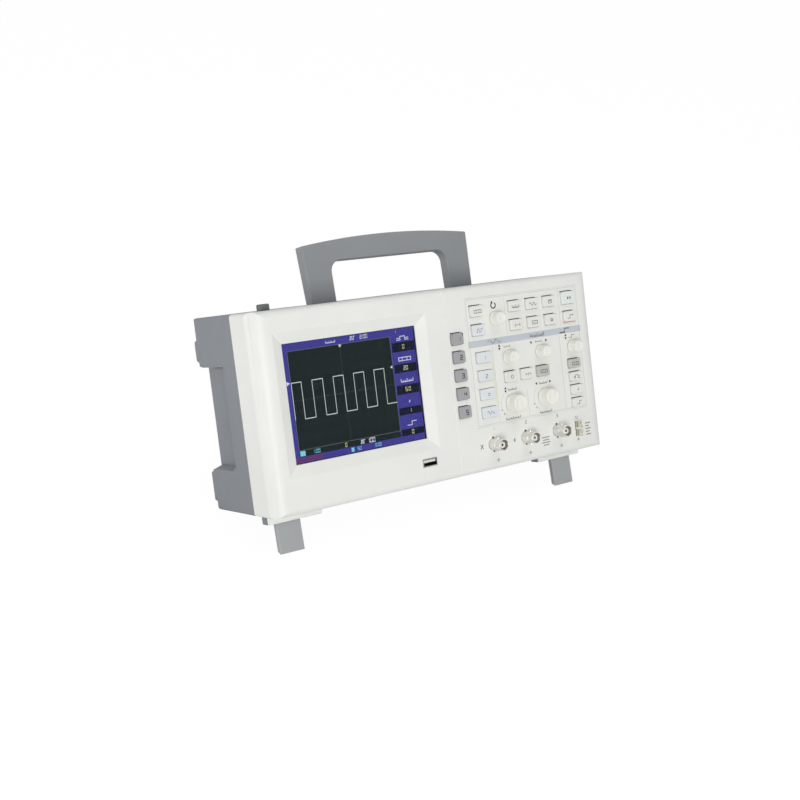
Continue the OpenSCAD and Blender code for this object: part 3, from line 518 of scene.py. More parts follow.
def frame_line(x0, z0, x1, z1, w, r=1.5):
    """A closed line with rounded corners."""
    pts = arc_points(x1 - r, z1 - r, r, 0, 90, 5) + arc_points(x0 + r, z1 - r, r, 90, 180, 5)
    pts += arc_points(x0 + r, z0 + r, r, 180, 270, 5) + arc_points(x1 - r, z0 + r, r, 270, 360, 5)
    return stroke(pts, w, True)


def arrow(x, z, way, s=0.9):
    """A small filled triangle that points up, down, left or right."""
    k = s * 0.7
    shapes = {"up": [(-s, -k), (s, -k), (0, s)], "down": [(-s, k), (0, -s), (s, k)],
              "left": [(k, -s), (k, s), (-s, 0)], "right": [(-k, s), (-k, -s), (s, 0)]}
    return [(x + a, z + b) for a, b in shapes[way]]


SEGMENTS = {"0": "abcdef", "1": "bc", "2": "abged", "3": "abgcd", "4": "fgbc", "5": "afgcd", "6": "afgedc",
            "7": "abc", "8": "abcdefg", "9": "abcdfg", "-": "g", " ": ""}


def numeral(text, x, z, h, w=None):
    """Plain seven-stroke numerals, centred on x and z."""
    w = w or h * 0.14
    cw = h * 0.52
    step = cw + h * 0.26
    width = sum(h * 0.3 if c == "." else step for c in text) - h * 0.26
    at, out = x - width / 2, []
    for c in text:
        if c == ".":
            out.append(rect(at - w * 0.6, z - h / 2, at + w * 0.6, z - h / 2 + w * 1.2))
            at += h * 0.3
            continue
        ends = {"a": ((0, h / 2), (cw, h / 2)), "g": ((0, 0), (cw, 0)), "d": ((0, -h / 2), (cw, -h / 2)),
                "f": ((0, 0), (0, h / 2)), "b": ((cw, 0), (cw, h / 2)),
                "e": ((0, -h / 2), (0, 0)), "c": ((cw, -h / 2), (cw, 0))}
        for s in SEGMENTS[c]:
            (ax, az), (bx, bz) = ends[s]
            k = w * 0.5
            if s in "agd":
                out.append(rect(at + ax - k, z + az - k, at + bx + k, z + az + k))
            else:
                out.append(rect(at + ax - k, z + az + k, at + ax + k, z + bz - k))
        at += step
    return out


def symbol(kind, x, z, w=7.0, h=2.6, t=0.42):
    """Plain instrument symbols in strokes of width t, on a box of w by h whose sides run from -1 to 1."""
    a, b = w / 2, h / 2

    def at(pts):
        return [(x + u * a, z + v * b) for u, v in pts]

    def lines(*paths, width=t):
        return [q for path in paths for q in stroke(at(path), width)]

    def loop(*pts):
        return stroke(at(pts), t, True)

    def block(u0, v0, u1, v1):
        return rect(x + a * u0, z + b * v0, x + a * u1, z + b * v1)

    def post(v0, v1):
        return rect(x - t / 2, z + b * v0, x + t / 2, z + b * v1)

    def dash(u0, u1):
        return rect(x + a * u0, z - t / 2, x + a * u1, z + t / 2)

    if kind == "ruler":
        ticks = [[(-1 + i / 3, -0.6), (-1 + i / 3, 0.9 if i % 3 == 0 else 0.2)] for i in range(7)]
        return lines([(-1, -0.8), (1, -0.8)], *ticks)
    if kind == "sine":
        return lines([(-1 + i / 10, math.sin(i / 10 * math.pi * 2)) for i in range(21)])
    if kind == "pulse":
        return lines([(-1, -1), (-0.6, -1), (-0.6, 1), (-0.1, 1), (-0.1, -1), (0.4, -1), (0.4, 1), (1, 1)])
    if kind == "store":
        return loop((-0.5, -1), (0.5, -1), (0.5, 1), (-0.5, 1)) + [block(-0.25, 0.1, 0.25, 0.7)]
    if kind == "cursors":
        return lines([(-0.7, -1), (-0.7, 1)], [(0.7, -1), (0.7, 1)], [(-0.5, 0), (0.5, 0)])
    if kind == "screen":
        rim = loop((-0.8, -1), (0.8, -1), (0.8, 1), (-0.8, 1))
        return rim + lines([(-0.6, 0), (0.6, 0)], width=t * 0.7)
    if kind == "tool":
        rays = [(math.cos(i * math.pi / 4), math.sin(i * math.pi / 4)) for i in range(8)]
        teeth = [q for c, d in rays for q in stroke([(x + b * k * c, z + b * k * d) for k in (0.9, 1.25)], t)]
        return stroke(arc_points(x, z, b * 0.75, 0, 345, 14), t, True) + teeth
    if kind == "run":
        return [at([(-0.5, -1), (0.05, 0), (-0.5, 1)]), block(0.2, -1, 0.34, 1), block(0.5, -1, 0.64, 1)]
    if kind == "auto":
        return lines([(-1, -1), (-0.2, -1), (-0.2, 1), (0.4, 1)]) + [arrow(x + a * 0.7, z + b, "right", 0.8)]
    if kind == "plus_minus":
        plus = lines([(-0.35, 0.35), (0.35, 0.35)]) + [post(0.5, 1.0), post(-0.3, 0.2)]
        return plus + lines([(-0.35, -0.8), (0.35, -0.8)])
    if kind == "ring":
        return stroke(disc(x, z, b, 18), t, True)
    if kind == "centre":
        return [arrow(x - a * 0.55, z, "right", 0.8), arrow(x + a * 0.55, z, "left", 0.8), post(-1, 1)]
    if kind == "window":
        panes = lines([(-0.4, -0.7), (-0.4, 0.7)], [(0.4, -0.7), (0.4, 0.7)], width=t * 0.8)
        return loop((-1, -0.9), (1, -0.9), (1, 0.9), (-1, 0.9)) + panes
    if kind == "rise":
        return lines([(-0.8, -1), (0, -1), (0, 1), (0.8, 1)])
    if kind == "half":
        step = lines([(-1, -1), (-0.4, -1), (-0.4, 1), (0.4, 1), (0.4, -1), (1, -1)])
        return step + [dash(-1, -0.5), dash(0.5, 1)]
    if kind == "bolt":
        return [[(x + u, z + b * v) for u, v in
                 ((0.5, 1), (-0.9, -0.15), (-0.05, -0.15), (-0.5, -1), (0.9, 0.15), (0.05, 0.15))]]
    if kind == "earth":
        bars = [[(-u, v), (u, v)] for u, v in ((1, 0), (0.6, -0.5), (0.25, -1))]
        return lines([(0, 1), (0, 0)], *bars)
    return []


# repeated pieces, from node trees with named sizes


def new_tree(name, inputs):
    """An empty tree with its named inputs and one geometry output."""
    tree = bpy.data.node_groups.new(name, "GeometryNodeTree")
    kinds = {"i": "NodeSocketInt", "f": "NodeSocketFloat", "v": "NodeSocketVector", "m": "NodeSocketMaterial"}
    for key, kind in inputs:
        tree.interface.new_socket(key, in_out="INPUT", socket_type=kinds[kind])
    tree.interface.new_socket("Geometry", in_out="OUTPUT", socket_type="NodeSocketGeometry")
    return tree, tree.nodes.new("NodeGroupInput"), tree.nodes.new("NodeGroupOutput")


def close_tree(tree, start, end, placed, out="Instances"):
    """Ends a tree with real geometry and its material."""
    real = tree.nodes.new("GeometryNodeRealizeInstances")
    paint = tree.nodes.new("GeometryNodeSetMaterial")
    tree.links.new(placed.outputs[out], real.inputs[0])
    tree.links.new(real.outputs[0], paint.inputs["Geometry"])
    tree.links.new(start.outputs["Material"], paint.inputs["Material"])
    tree.links.new(paint.outputs[0], end.inputs[0])


def grown(name, tree, **values):
    """The plain mesh that a tree makes with these sizes."""
    obj = bpy.data.objects.new(name + "_grow", bpy.data.meshes.new(name + "_seed"))
    bpy.context.scene.collection.objects.link(obj)
    mod = obj.modifiers.new("grow", "NODES")
    mod.node_group = tree
    for item in tree.interface.items_tree:
        key = item.name.replace(" ", "_")
        if item.in_out == "INPUT" and key in values:
            mod[item.identifier] = values[key]
    dg = bpy.context.evaluated_depsgraph_get()
    mesh = bpy.data.meshes.new_from_object(obj.evaluated_get(dg))
    mesh.name = name
    obj.modifiers.remove(mod)
    bpy.data.objects.remove(obj)
    return mesh


def ridge_ring_tree():
    """Upright ridges round a circle, for the sides of a knob."""
    tree, start, end = new_tree("knob_ridges", [
        ("Count", "i"), ("Radius", "f"), ("Ridge Radius", "f"), ("Ridge Length", "f"), ("Material", "m")])
    ring = add(tree, "GeometryNodeMeshCircle")
    ridge = add(tree, "GeometryNodeMeshCylinder", Vertices=6)
    place = tree.nodes.new("GeometryNodeInstanceOnPoints")
    join(tree, start, "Count", ring, "Vertices")
    join(tree, start, "Radius", ring, "Radius")
    join(tree, start, "Ridge Radius", ridge, "Radius")
    join(tree, start, "Ridge Length", ridge, "Depth")
    tree.links.new(ring.outputs["Mesh"], place.inputs["Points"])
    tree.links.new(ridge.outputs["Mesh"], place.inputs["Instance"])
    close_tree(tree, start, end, place)
    return tree


def dot_field_tree():
    """Small blocks on a grid of points, for dotted lines."""
    tree, start, end = new_tree("dot_field", [
        ("Width", "f"), ("Height", "f"), ("Columns", "i"), ("Rows", "i"), ("Dot", "v"), ("Material", "m")])
    field = add(tree, "GeometryNodeMeshGrid")
    dot = add(tree, "GeometryNodeMeshCube")
    place = tree.nodes.new("GeometryNodeInstanceOnPoints")
    join(tree, start, "Width", field, "Size X")
    join(tree, start, "Height", field, "Size Y")
    join(tree, start, "Columns", field, "Vertices X")
    join(tree, start, "Rows", field, "Vertices Y")
    join(tree, start, "Dot", dot, "Size")
    tree.links.new(field.outputs["Mesh"], place.inputs["Points"])
    tree.links.new(dot.outputs["Mesh"], place.inputs["Instance"])
    close_tree(tree, start, end, place)
    return tree


def slat_row_tree():
    """A row of equal blocks along a line, for finger ribs."""
    tree, start, end = new_tree("slat_row", [
        ("Count", "i"), ("Start", "v"), ("Step", "v"), ("Slat", "v"), ("Material", "m")])
    line = add(tree, "GeometryNodeMeshLine", mode="OFFSET")
    slat = add(tree, "GeometryNodeMeshCube")
    place = tree.nodes.new("GeometryNodeInstanceOnPoints")
    join(tree, start, "Count", line, "Count")
    join(tree, start, "Start", line, "Start Location")
    join(tree, start, "Step", line, "Offset")
    join(tree, start, "Slat", slat, "Size")
    tree.links.new(line.outputs["Mesh"], place.inputs["Points"])
    tree.links.new(slat.outputs["Mesh"], place.inputs["Instance"])
    close_tree(tree, start, end, place)
    return tree


RIDGES, DOTS, SLATS = ridge_ring_tree(), dot_field_tree(), slat_row_tree()


# the case


def make_case():
    dressed("front_bezel", WHITE, 0.25, 2, 18.0, sharp=FRONT_SHARP)
    dressed("rear_case", GREY, 0.35, 2, 30.0, sharp=REAR_SHARP)
    dressed("control_overlay", PANEL, 0.08, 1, 40.0)
    dressed("handle", GRIP, 0.9, 3, 30.0, flats=True)
    for leg in ("left_leg", "right_leg"):
        dressed(leg, LEG, 0.5, 2, 30.0, flats=True)
    ribs = grown("power_ribs", SLATS, Count=5, Start=(-139.4, 15.2, 150.6), Step=(0, 1.4, 0),
                 Slat=(5.6, 0.6, 0.5), Material=RUBBER)
    dressed("power_button", BUTTON, 0.5, 2, 30.0, [leaned(ribs)])
    dressed("rear_feet", RUBBER, 0.5, 2, 30.0, flats=True)
    dressed("ac_inlet", BLACK, 0.4, 2, 30.0)
    dressed("ac_pins", STEEL, 0.3, 2, 30.0, flats=True)
    dressed("case_screws", STEEL, 0.15, 1, 30.0)


# keys


LEGENDS = {
    "setup_key_1": "window", "setup_key_2": "pulse",
    "menu_key_1": "ruler", "menu_key_2": "sine", "menu_key_3": "store",
    "menu_key_4": "cursors", "menu_key_5": "screen", "menu_key_6": "tool",
    "run_key": "run", "auto_key": "auto", "channel_key_3": "plus_minus", "channel_key_4": "sine",
    "off_key": "ring", "zero_key": "centre", "timebase_key": "window",
    "trigger_key_1": "window", "trigger_key_2": "half", "trigger_key_3": "bolt", "trigger_key_4": "rise",
}


def key_centre(node):
    """Middle of a key's cap on the upright case, in millimetres."""
    low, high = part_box(node)
    mid = UPRIGHT.inverted() @ ((low + high) / 2)
    return mid.x, mid.z


def key_box(node):
    """Left, lower, right and upper edge of a key's cap on the upright case."""
    back = UPRIGHT.inverted()
    front = [p for p in (back @ v.co for v in nodes[node].data.vertices) if p.y < 0.1 - KEY_OUT]
    across, up = [p.x for p in front], [p.z for p in front]
    return min(across), min(up), max(across), max(up)


def key_material(node):
    if node == "run_key":
        return KEY_RUN
    return {"grey_key": SOFT, "blue_key": KEY_BLUE, "dark_key": KEY_DARK}.get(slot_of[node], KEY)


def key_legend(node):
    """Outlines of the sign or number on a key, and its ink."""
    x, z = key_centre(node)
    if node.startswith("soft_key"):
        return numeral(node[-1], x + 1.4, z, 3.4, 0.8), INK_DARK
    if node in ("channel_key_1", "channel_key_2"):
        return numeral(node[-1], x, z, 3.0, 0.5), INK_BLUE
    blue = node.startswith("channel") or node == "setup_key_2"
    return symbol(LEGENDS[node], x + 0.4, z), INK_BLUE if blue else INK_DARK


def make_keys():
    keys = sorted(n for n in nodes if n.endswith("_key") or "_key_" in n)
    shadow_strips = []
    for node in keys:
        marks, tone = key_legend(node)
        legend = prisms(node + "_legend", marks, *LEGEND_Y, tone)
        x0, _, x1, z1 = key_box(node)
        # a strip of painted shadow above each key, over its gap and the panel next to it, thinner above the
        # channel keys
        short, thick = (4.0, 0.35) if node.startswith("channel") else (2.2, 0.75)
        shadow_strips.append(rect(x0 - 0.2, z1 + 0.05, x1 - short, z1 + thick))
        dressed(node, key_material(node), 0.45, 3, 30.0, [leaned(legend)])
    piece("key_gaps", leaned(prisms("key_gap_lines", shadow_strips, -0.05, -0.01, PAINTED_SHADOW)), "case")


# knobs


def knob_mesh(name, radius, out):
    """Body of a knob turned round its own axis, which points out of the panel along +z."""
    g, r = KNOB_GAP, radius
    profile = [(0, -STEM_IN), (STEM_R, -STEM_IN), (STEM_R, g + 2), (BUSH_R + 0.4, g + 2)]
    profile += [(BUSH_R + 0.4, g), (r - 0.3, g)]
    profile += [(r - 0.08, g + 0.1), (r, g + 0.35), (r, g + 1.2), (r - 0.1, g + 1.5), (r - 0.3, g + 1.75)]
    profile += [(r - 0.5, g + 1.95), (r - 0.7, out - 1.3), (r - 0.8, out - 0.75), (r - 1.05, out - 0.3)]
    profile += [(r - 1.4, out - 0.05), (r - 1.8, out), (r - 2.2, out - 0.1), (r - 2.5, out - 0.25)]
    profile += [(0, out - 0.4)]
    count = 64
    turns = [2 * math.pi * i / count for i in range(count)]
    verts, faces, rings = [], [], []
    for pr, pz in profile:
        if pr == 0:
            rings.append([len(verts)])
            verts.append((0, 0, pz))
        else:
            rings.append(list(range(len(verts), len(verts) + count)))
            verts += [(pr * math.cos(a), pr * math.sin(a), pz) for a in turns]
    for a, b in zip(rings, rings[1:]):
        for i in range(count):
            k = (i + 1) % count
            if len(a) == 1:
                faces.append((a[0], b[k], b[i]))
            elif len(b) == 1:
                faces.append((a[i], a[k], b[0]))
            else:
                faces.append((a[i], a[k], b[k], b[i]))
    body = mesh_from(name, verts, faces, [KNOB])
    smooth(body, 40.0)
    return body


def knob_ridges(name, radius, out, count):
    """The ridges round the side of a knob."""
    foot = KNOB_GAP + RIDGE_FOOT
    length = out - RIDGE_HEAD - foot
    mesh = grown(name, RIDGES, Count=count, Radius=radius - RIDGE_IN, Ridge_Radius=RIDGE_R,
                 Ridge_Length=length, Material=KNOB)
    mesh.transform(Matrix.Translation((0, 0, foot + length / 2)))
    return mesh


def grip_bar(name, radius, out):
    """The rounded bar across the top of a large knob."""
    bar = bmesh.new()
    shape = Matrix.Translation((0, 0, out - 0.1)) @ Matrix.Diagonal((2.2, 2 * (radius - 2.6), 1.2, 1))
    bmesh.ops.create_cube(bar, size=1.0, matrix=shape)
    bmesh.ops.bevel(bar, geom=bar.edges[:], offset=0.45, segments=3, profile=0.5, affect="EDGES")
    mesh = bpy.data.meshes.new(name)
    bar.to_mesh(mesh)
    bar.free()
    mesh.materials.append(KNOB)
    smooth(mesh, 50.0)
    return mesh


def pointer(name, radius, out):
    """The printed mark on the top of a small knob."""
    mark = prisms(name, [rect(-0.3, 1.4, 0.3, radius - 2.6)], 0, 0.5, INK_GREY)
    flat = Matrix.Rotation(math.radians(-90), 4, "X")
    mark.transform(Matrix.Translation((0, 0, out - 0.42)) @ flat)
    return mark


def make_knobs():
    for node, (x, z, r, out) in KNOBS.items():
        large = "scale" in node
        parts = [knob_mesh(node + "_body", r, out),
                 knob_ridges(node + "_ridges", r, out, 36 if large else 30),
                 grip_bar(node + "_rib", r, out) if large else pointer(node + "_mark", r, out)]
        mesh = together(node + "_whole", parts)
        mesh.transform(Matrix.Translation((x, 0, z)) @ Matrix.Rotation(math.radians(90), 4, "X"))
        piece(node + "_skin", leaned(mesh), node, (node,))


# printing on the panel


def make_printing():
    sheets = {}

    def draw(mat, *outlines):
        sheets.setdefault(mat, []).extend(outlines)

    # the band over the knobs, with a sign for each group
    draw(INK_BAND, rect(26.4, 97.4, 144.6, 102.6))
    for x, kind in ((52.5, "sine"), (97.0, "ruler"), (127.0, "rise")):
        draw(INK_BLACK, *symbol(kind, x, 100.0, 14.0, 3.0, 0.9))
    # arrows and signs beside the knobs
    draw(INK_BLACK, *stroke(arc_points(55.0, 128.4, 2.3, 120, 410, 18), 1.0), arrow(53.7, 130.9, "left", 1.2))
    for x, z in ((56.6, 94.6), (127.5, 94.6), (58.2, 60.2)):
        draw(INK_BLACK, arrow(x, z + 1.3, "up", 1.2), arrow(x, z - 1.3, "down", 1.2))
    for x0, x1, z in ((89.6, 106.0, 94.4), (90.8, 105.6, 60.6)):
        draw(INK_BLACK, arrow(x0, z, "left", 1.2), arrow(x1, z, "right", 1.2))
    for x, z, kind in ((64.5, 94.4, "cursors"), (97.8, 94.4, "cursors"), (134.2, 94.4, "rise"),
                       (65.2, 60.2, "ruler"), (98.2, 60.6, "ruler")):
        draw(INK_GREY, *symbol(kind, x, z, 8.4, 2.0, 0.6))
    for x, z, wide in ((63.5, 37.2, 15.0), (98.0, 37.0, 12.5)):
        draw(INK_DARK, *symbol("ruler", x, z, wide, 2.0, 0.45))
    # lines that part the groups of controls
    draw(INK_LINE, *frame_line(27.6, 35.4, 143.4, 134.8, 0.4))
    for x, z0, z1 in ((49.6, 36, 96.6), (80.5, 36, 57.5), (120.4, 36, 96.6),
                      (66.4, 103.4, 133.6), (123.6, 103.4, 133.6)):
        draw(INK_LINE, *stroke([(x, z0), (x, z1)], 0.4))
    draw(INK_LIME, rect(47.4, 51.0, 49.0, 84.0))
    for z in (88.8, 74.2, 59.7, 45.2):
        draw(INK_LINE, rect(47.4, z - 0.2, 49.4, z + 0.2))
    draw(INK_RED, rect(125.0, 105.9, 141.0, 106.4))
    draw(INK_RED, *[disc(126.2 + 2.8 * i, 105.1, 0.35, 10) for i in range(6)])
    # an arc and two dots beside each scale knob
    for knob in ("vertical_scale_knob", "horizontal_scale_knob"):
        x, z = KNOBS[knob][:2]
        draw(INK_LINE, *stroke(arc_points(x, z, 11.4, 130, 235, 18), 0.35))
        draw(INK_GREY, disc(x - 9.6, z - 7.6, 0.6, 12), disc(x - 11.6, z - 4.2, 0.6, 12))
    # beside the jacks and the test terminals
    for i, x in enumerate(JACKS):
        draw(INK_GREY, *numeral(str(i + 1), x + 1.4, 31.4, 2.4, 0.4))
        draw(INK_GREY, *symbol("earth", x + 3.0, 6.4, 3.4, 2.8, 0.4))
    draw(INK_DARK, *stroke([(27.2, 17.2), (29.8, 20.8)], 0.55), *stroke([(27.2, 20.8), (29.8, 17.2)], 0.55))
    draw(INK_DARK, *stroke([(60.7, 18.9), (63.3, 18.9)], 0.55))
    draw(INK_DARK, rect(61.725, 19.2, 62.275, 20.6), rect(61.725, 17.2, 62.275, 18.6))
    for i, (a, b) in enumerate(((90.4, 98.6), (91.4, 98.2), (90.2, 99.0), (91.8, 97.6))):
        draw(INK_GREY, rect(a, 15.3 - i * 2.1, b, 16.1 - i * 2.1))
    for i, z in enumerate((20.2, 17.9, 15.5, 13.1, 10.7)):
        draw(INK_GREY, rect(139.2, z - 0.45, 144.6 - (i % 2) * 1.4, z + 0.45))
    # painted shadow in the gap left of the test terminals
    draw(PAINTED_SHADOW, rect(127.9, 11.0, 128.8, 24.0))
    draw(INK_GREY, *symbol("pulse", 130.1, 26.2, 5.0, 2.2, 0.4), *symbol("earth", 130.1, 8.4, 3.0, 2.4, 0.4))
    for mat, outlines in sheets.items():
        mesh = prisms(mat.name + "_sheet", outlines, *INK_Y, mat)
        piece("panel_" + mat.name, leaned(mesh), "case")


# the display: drawn from its lower left corner, in millimetres of picture

# edges of the plot, the wave's two levels and where it turns
PLOT = (4.4, 9.2, 93.0, 80.8)
WAVE_LOW, WAVE_HIGH = 31.2, 58.1
WAVE_TURNS = (4.6, 12.7, 21.7, 30.7, 39.7, 48.4, 57.4, 66.4, 75.5, 84.5)
# how far the layers of the picture stand in front of the module
FIELD, GROUND, BORDER, GRATICULE, SIGNS = 0.0, 0.032, 0.066, 0.078, 0.10
LAYER_THICK = 0.03


def square_wave():
    """Strokes of the wave, which starts low; its steep lines are thinner."""
    path, up = [(WAVE_TURNS[0], WAVE_LOW)], True
    for u in WAVE_TURNS:
        path += [(u, path[-1][1])] if path[-1][0] != u else []
        path.append((u, WAVE_HIGH if up else WAVE_LOW))
        up = not up
    path.append((PLOT[2], path[-1][1]))
    return [q for a, b in zip(path, path[1:]) for q in stroke([a, b], 0.5 if a[1] == b[1] else 0.36)]


def make_display():
    left, low, back = LCD["x"] - LCD["w"] / 2, LCD["z"] - LCD["h"] / 2, LCD["y"] - 0.005

    def layer(name, mat, outlines, depth):
        moved = [[(left + u, low + v) for u, v in line] for line in outlines]
        mesh = prisms(name, moved, back - depth - LAYER_THICK, back - depth, mat)
        piece(name, leaned(mesh), "case")

    layer("picture_field", LIT_BLUE, [rect(0, 0, LCD["w"], LCD["h"])], FIELD)
    layer("picture_corner", LIT_PLUM, [rect(0.6, 0.3, 24.0, 4.2)], GROUND)
    layer("picture_plot", LIT_BLACK, [rect(*PLOT), rect(PLOT[0], 4.6, PLOT[2], 9.0)], GROUND)
    cells = [(68.6, 75.7), (52.6, 59.1), (36.1, 43.1), (20.5, 26.0), (4.5, 9.5)]
    layer("picture_cells", LIT_CELL, [rect(94.2, a, 114.8, b) for a, b in cells], GROUND)
    # dotted graticule
    wide, tall = PLOT[2] - PLOT[0], PLOT[3] - PLOT[1]
    mid = ((PLOT[0] + PLOT[2]) / 2, (PLOT[1] + PLOT[3]) / 2)
    fields = [("graticule_rows", wide, tall, 51, 9, 0.28), ("graticule_columns", wide, tall, 11, 41, 0.28),
              ("graticule_cross_row", wide, 0.0, 101, 1, 0.34),
              ("graticule_cross_column", 0.0, tall, 1, 81, 0.34)]
    centre = Matrix.Translation((left + mid[0], back - GRATICULE, low + mid[1]))
    for name, w, h, columns, rows, dot in fields:
        mesh = grown(name, DOTS, Width=w, Height=h, Columns=columns, Rows=rows, Dot=(dot, dot, 0.02),
                     Material=LIT_GRID)
        mesh.transform(centre @ Matrix.Rotation(math.radians(90), 4, "X"))
        piece(name, leaned(mesh), "case")
    layer("picture_borders", LIT_GRID, stroke(rect(*PLOT), 0.35, True), BORDER)
    layer("picture_trace", LIT_TRACE, square_wave(), SIGNS)
    # signs and numbers round the plot
    marks = [arrow(2.0, WAVE_HIGH, "right", 1.6), arrow(mid[0], PLOT[3] - 1.2, "down", 1.3)]
    marks.append(arrow(91.6, WAVE_HIGH, "left", 1.2))
    texts = numeral("2.00", 70.0, 84.0, 2.6) + symbol("pulse", 60.0, 84.0, 5.0, 2.4, 0.45)
    texts += symbol("ruler", 41.0, 83.6, 8.0, 1.8, 0.4)
    texts += numeral("100", 66.0, 6.8, 3.2) + symbol("pulse", 58.6, 6.8, 4.0, 2.6, 0.5)
    for v, kind in ((78.7, "half"), (62.8, "window"), (46.6, "ruler"), (30.2, "bolt"), (13.6, "rise")):
        texts += symbol(kind, 104.5, v, 11.0, 2.7, 0.55)
    layer("picture_text", LIT_TEXT, texts + marks, SIGNS)
    values = []
    for text, v in (("0", 72.2), ("20", 56.0), ("5.0", 39.8), ("1", 23.4), ("0", 7.0)):
        values += numeral(text, 104.5, v, 2.8)
    values += numeral("0", 44.0, 6.8, 2.6)
    layer("picture_values", LIT_AMBER, values, SIGNS)
    cyan = [rect(4.9, 5.0, 9.2, 8.6), rect(48.0, 0.9, 50.4, 3.9)] + numeral("1.00", 18.5, 6.8, 2.5)
    for text, u, v in (("50", 55.0, 2.4), ("0.00", 72.0, 2.4), ("1", 98.5, 84.0)):
        cyan += numeral(text, u, v, 2.2)
    layer("picture_cyan", LIT_CYAN, cyan, SIGNS)
    nodes["lcd_module"].data.materials.clear()
    nodes["lcd_module"].data.materials.append(BLACK)


# connectors


def make_connectors():
    dressed("bnc_jacks", NICKEL, 0.12, 2, 35.0)
    dressed("bnc_insulators", INSULATOR, 0.12, 1, 35.0)
    dressed("bnc_contacts", SHADED_BRASS, 0.08, 1, 35.0)
    dressed("probe_terminals", PALE, 0.15, 2, 35.0)
    # black discs set inside the notches above and below each jack: painted shade in their depth
    notch_shade_discs = [disc(x, JACK_Z + side * NOTCH_AT, NOTCH_R) for x in JACKS for side in (-1, 1)]
    piece("jack_notches", leaned(prisms("notch_shades", notch_shade_discs, 0.7, 0.8, BLACK)), "case")
    # painted shade inside the port: black sheets on its walls and at its back, round the white tongue
    x0, z0, x1, z1 = PORT_HOLE
    shade_sheet = PORT_SHADE_SHEET
    sides = [rect(x0, z0, x0 + shade_sheet, z1), rect(x1 - shade_sheet, z0, x1, z1),
             rect(x0, z1 - shade_sheet, x1, z1), rect(x0, z0, x1, z0 + shade_sheet)]
    tongue_and_shade = [prisms("port_tongue", [rect(*PORT_TONGUE)], 1.1, PORT_END, TONGUE),
              prisms("port_liner", sides, 0.3, PORT_END, BLACK),
              prisms("port_end", [rect(*PORT_HOLE)], PORT_END, PORT_END + 0.08, BLACK)]
    dressed("usb_port", STEEL, 0.08, 1, 35.0, [leaned(mesh) for mesh in tongue_and_shade])


def paint_inside():
    """Materials of the solids that keep their own shape."""
    paint = {"screen_window": GLASS, "chassis": PLATE, "main_board": BOARD, "keypad_board": BOARD,
             "tact_switches": BLACK, "encoders": PLATE, "power_supply": SUPPLY, "power_switch": BLACK,
             "leg_pins": STEEL, "handle_pins": STEEL}
    for node, mat in paint.items():
        data = nodes[node].data
        data.materials.clear()
        data.materials.append(mat)


# light, floor and camera

# share of the floor that is plain white to the camera; the rest takes the shadow
FLOOR_WHITE = 0.94
# the camera, solved on the upright case: its place, its turn, rise and roll in degrees, its focal
# length and the picture's side in pixels, and the width of its sensor
EYE = Vector((-552.7, -757.6, 152.9))
EYE_TURN, EYE_RISE, EYE_ROLL = -33.896, 5.352, 6.748
FOCAL_PX, PICTURE_PX = 1220, 800
SENSOR = 36.0


def make_world():
    """White to the camera and in reflections, with a weaker fill light on the object."""
    world = bpy.data.worlds.new("studio")
    bpy.context.scene.world = world
    world.use_nodes = True
    tree = world.node_tree
    tree.nodes.clear()
    seen = add(tree, "ShaderNodeBackground", Color=(1, 1, 1, 1), Strength=1.0)
    fill = add(tree, "ShaderNodeBackground", Color=(1, 1, 1, 1), Strength=0.42)
    path = add(tree, "ShaderNodeLightPath")
    first = add(tree, "ShaderNodeMath", operation="MAXIMUM")
    second = add(tree, "ShaderNodeMath", operation="MAXIMUM")
    mix = add(tree, "ShaderNodeMixShader")
    out = add(tree, "ShaderNodeOutputWorld")
    join(tree, path, "Is Camera Ray", first, 0)
    join(tree, path, "Is Glossy Ray", first, 1)
    join(tree, first, 0, second, 0)
    join(tree, path, "Is Transmission Ray", second, 1)
    join(tree, second, 0, mix, 0)
    join(tree, fill, 0, mix, 1)
    join(tree, seen, 0, mix, 2)
    join(tree, mix, 0, out, "Surface")


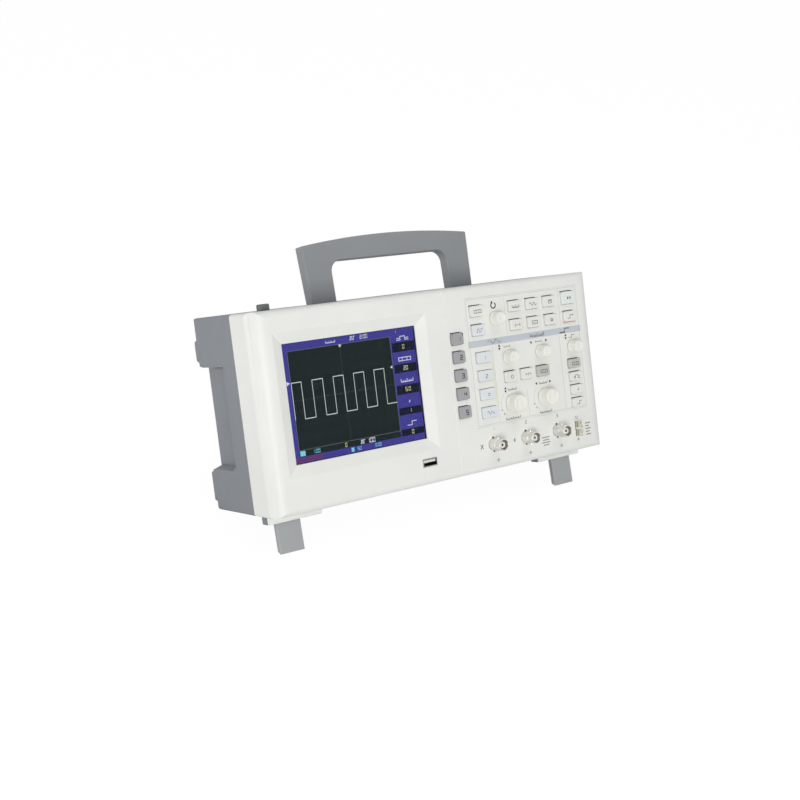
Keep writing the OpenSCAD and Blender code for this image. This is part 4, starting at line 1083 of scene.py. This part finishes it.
def make_floor():
    """A pale floor, nearly white to the camera, that keeps the object's shadow."""
    bm = bmesh.new()
    bmesh.ops.create_grid(bm, x_segments=1, y_segments=1, size=6.0)
    sheet = bpy.data.meshes.new("floor_sheet")
    bm.to_mesh(sheet)
    bm.free()
    mat, tree, main = shader("pale_floor")
    main.inputs["Base Color"].default_value = (0.9, 0.9, 0.9, 1)
    main.inputs["Roughness"].default_value = 0.9
    main.inputs["Specular IOR Level"].default_value = 0.0
    path = add(tree, "ShaderNodeLightPath")
    glow = add(tree, "ShaderNodeEmission", Color=(1, 1, 1, 1), Strength=1.03)
    weight = add(tree, "ShaderNodeMath", operation="MULTIPLY")
    weight.inputs[1].default_value = FLOOR_WHITE
    mix = add(tree, "ShaderNodeMixShader")
    join(tree, path, "Is Camera Ray", weight, 0)
    join(tree, weight, 0, mix, 0)
    join(tree, main, 0, mix, 1)
    join(tree, glow, 0, mix, 2)
    join(tree, mix, 0, tree.nodes["Material Output"], "Surface")
    sheet.materials.append(mat)
    floor = bpy.data.objects.new("floor", sheet)
    bpy.context.scene.collection.objects.link(floor)


def make_lamp(name, at, aim, size, watts):
    """A square soft lamp at one point that faces another."""
    data = bpy.data.lights.new(name, "AREA")
    data.size, data.energy = size, watts
    obj = bpy.data.objects.new(name, data)
    obj.location = at
    obj.rotation_euler = (Vector(aim) - Vector(at)).to_track_quat("-Z", "Y").to_euler()
    bpy.context.scene.collection.objects.link(obj)


def make_camera():
    """The camera at the photograph's place, with its axes worked out from its three angles."""
    turn, rise, roll = (math.radians(a) for a in (EYE_TURN, EYE_RISE, EYE_ROLL))
    back = Vector((math.sin(turn) * math.cos(rise), -math.cos(turn) * math.cos(rise), math.sin(rise)))
    right = Vector((math.cos(turn), math.sin(turn), 0))
    up = back.cross(right)
    right, up = right * math.cos(roll) - up * math.sin(roll), right * math.sin(roll) + up * math.cos(roll)
    lens = bpy.data.cameras.new("camera")
    lens.sensor_width, lens.lens = SENSOR, FOCAL_PX / PICTURE_PX * SENSOR
    lens.clip_start, lens.clip_end = 0.05, 50
    eye = bpy.data.objects.new("camera", lens)
    axes = Matrix((right, up, back)).transposed().to_4x4()
    eye.matrix_world = Matrix.Translation(UPRIGHT @ EYE) @ TURN @ axes
    scene = bpy.context.scene
    scene.collection.objects.link(eye)
    scene.camera = eye


def make_stage():
    scene = bpy.context.scene
    scene.view_settings.view_transform = "Standard"
    make_world()
    make_floor()
    make_lamp("key_light", (-0.95, -1.65, 0.5), (0, 0, 0.1), 0.6, 16.2)
    make_lamp("side_light", (-1.15, 0.7, 0.1), (-0.1, 0, 0.08), 0.14, 4.0)
    make_lamp("top_light", (0.2, -0.4, 2.2), (0, 0, 0.1), 1.2, 8)
    make_camera()


make_case()
make_keys()
make_knobs()
make_printing()
make_display()
make_connectors()
paint_inside()
make_stage()
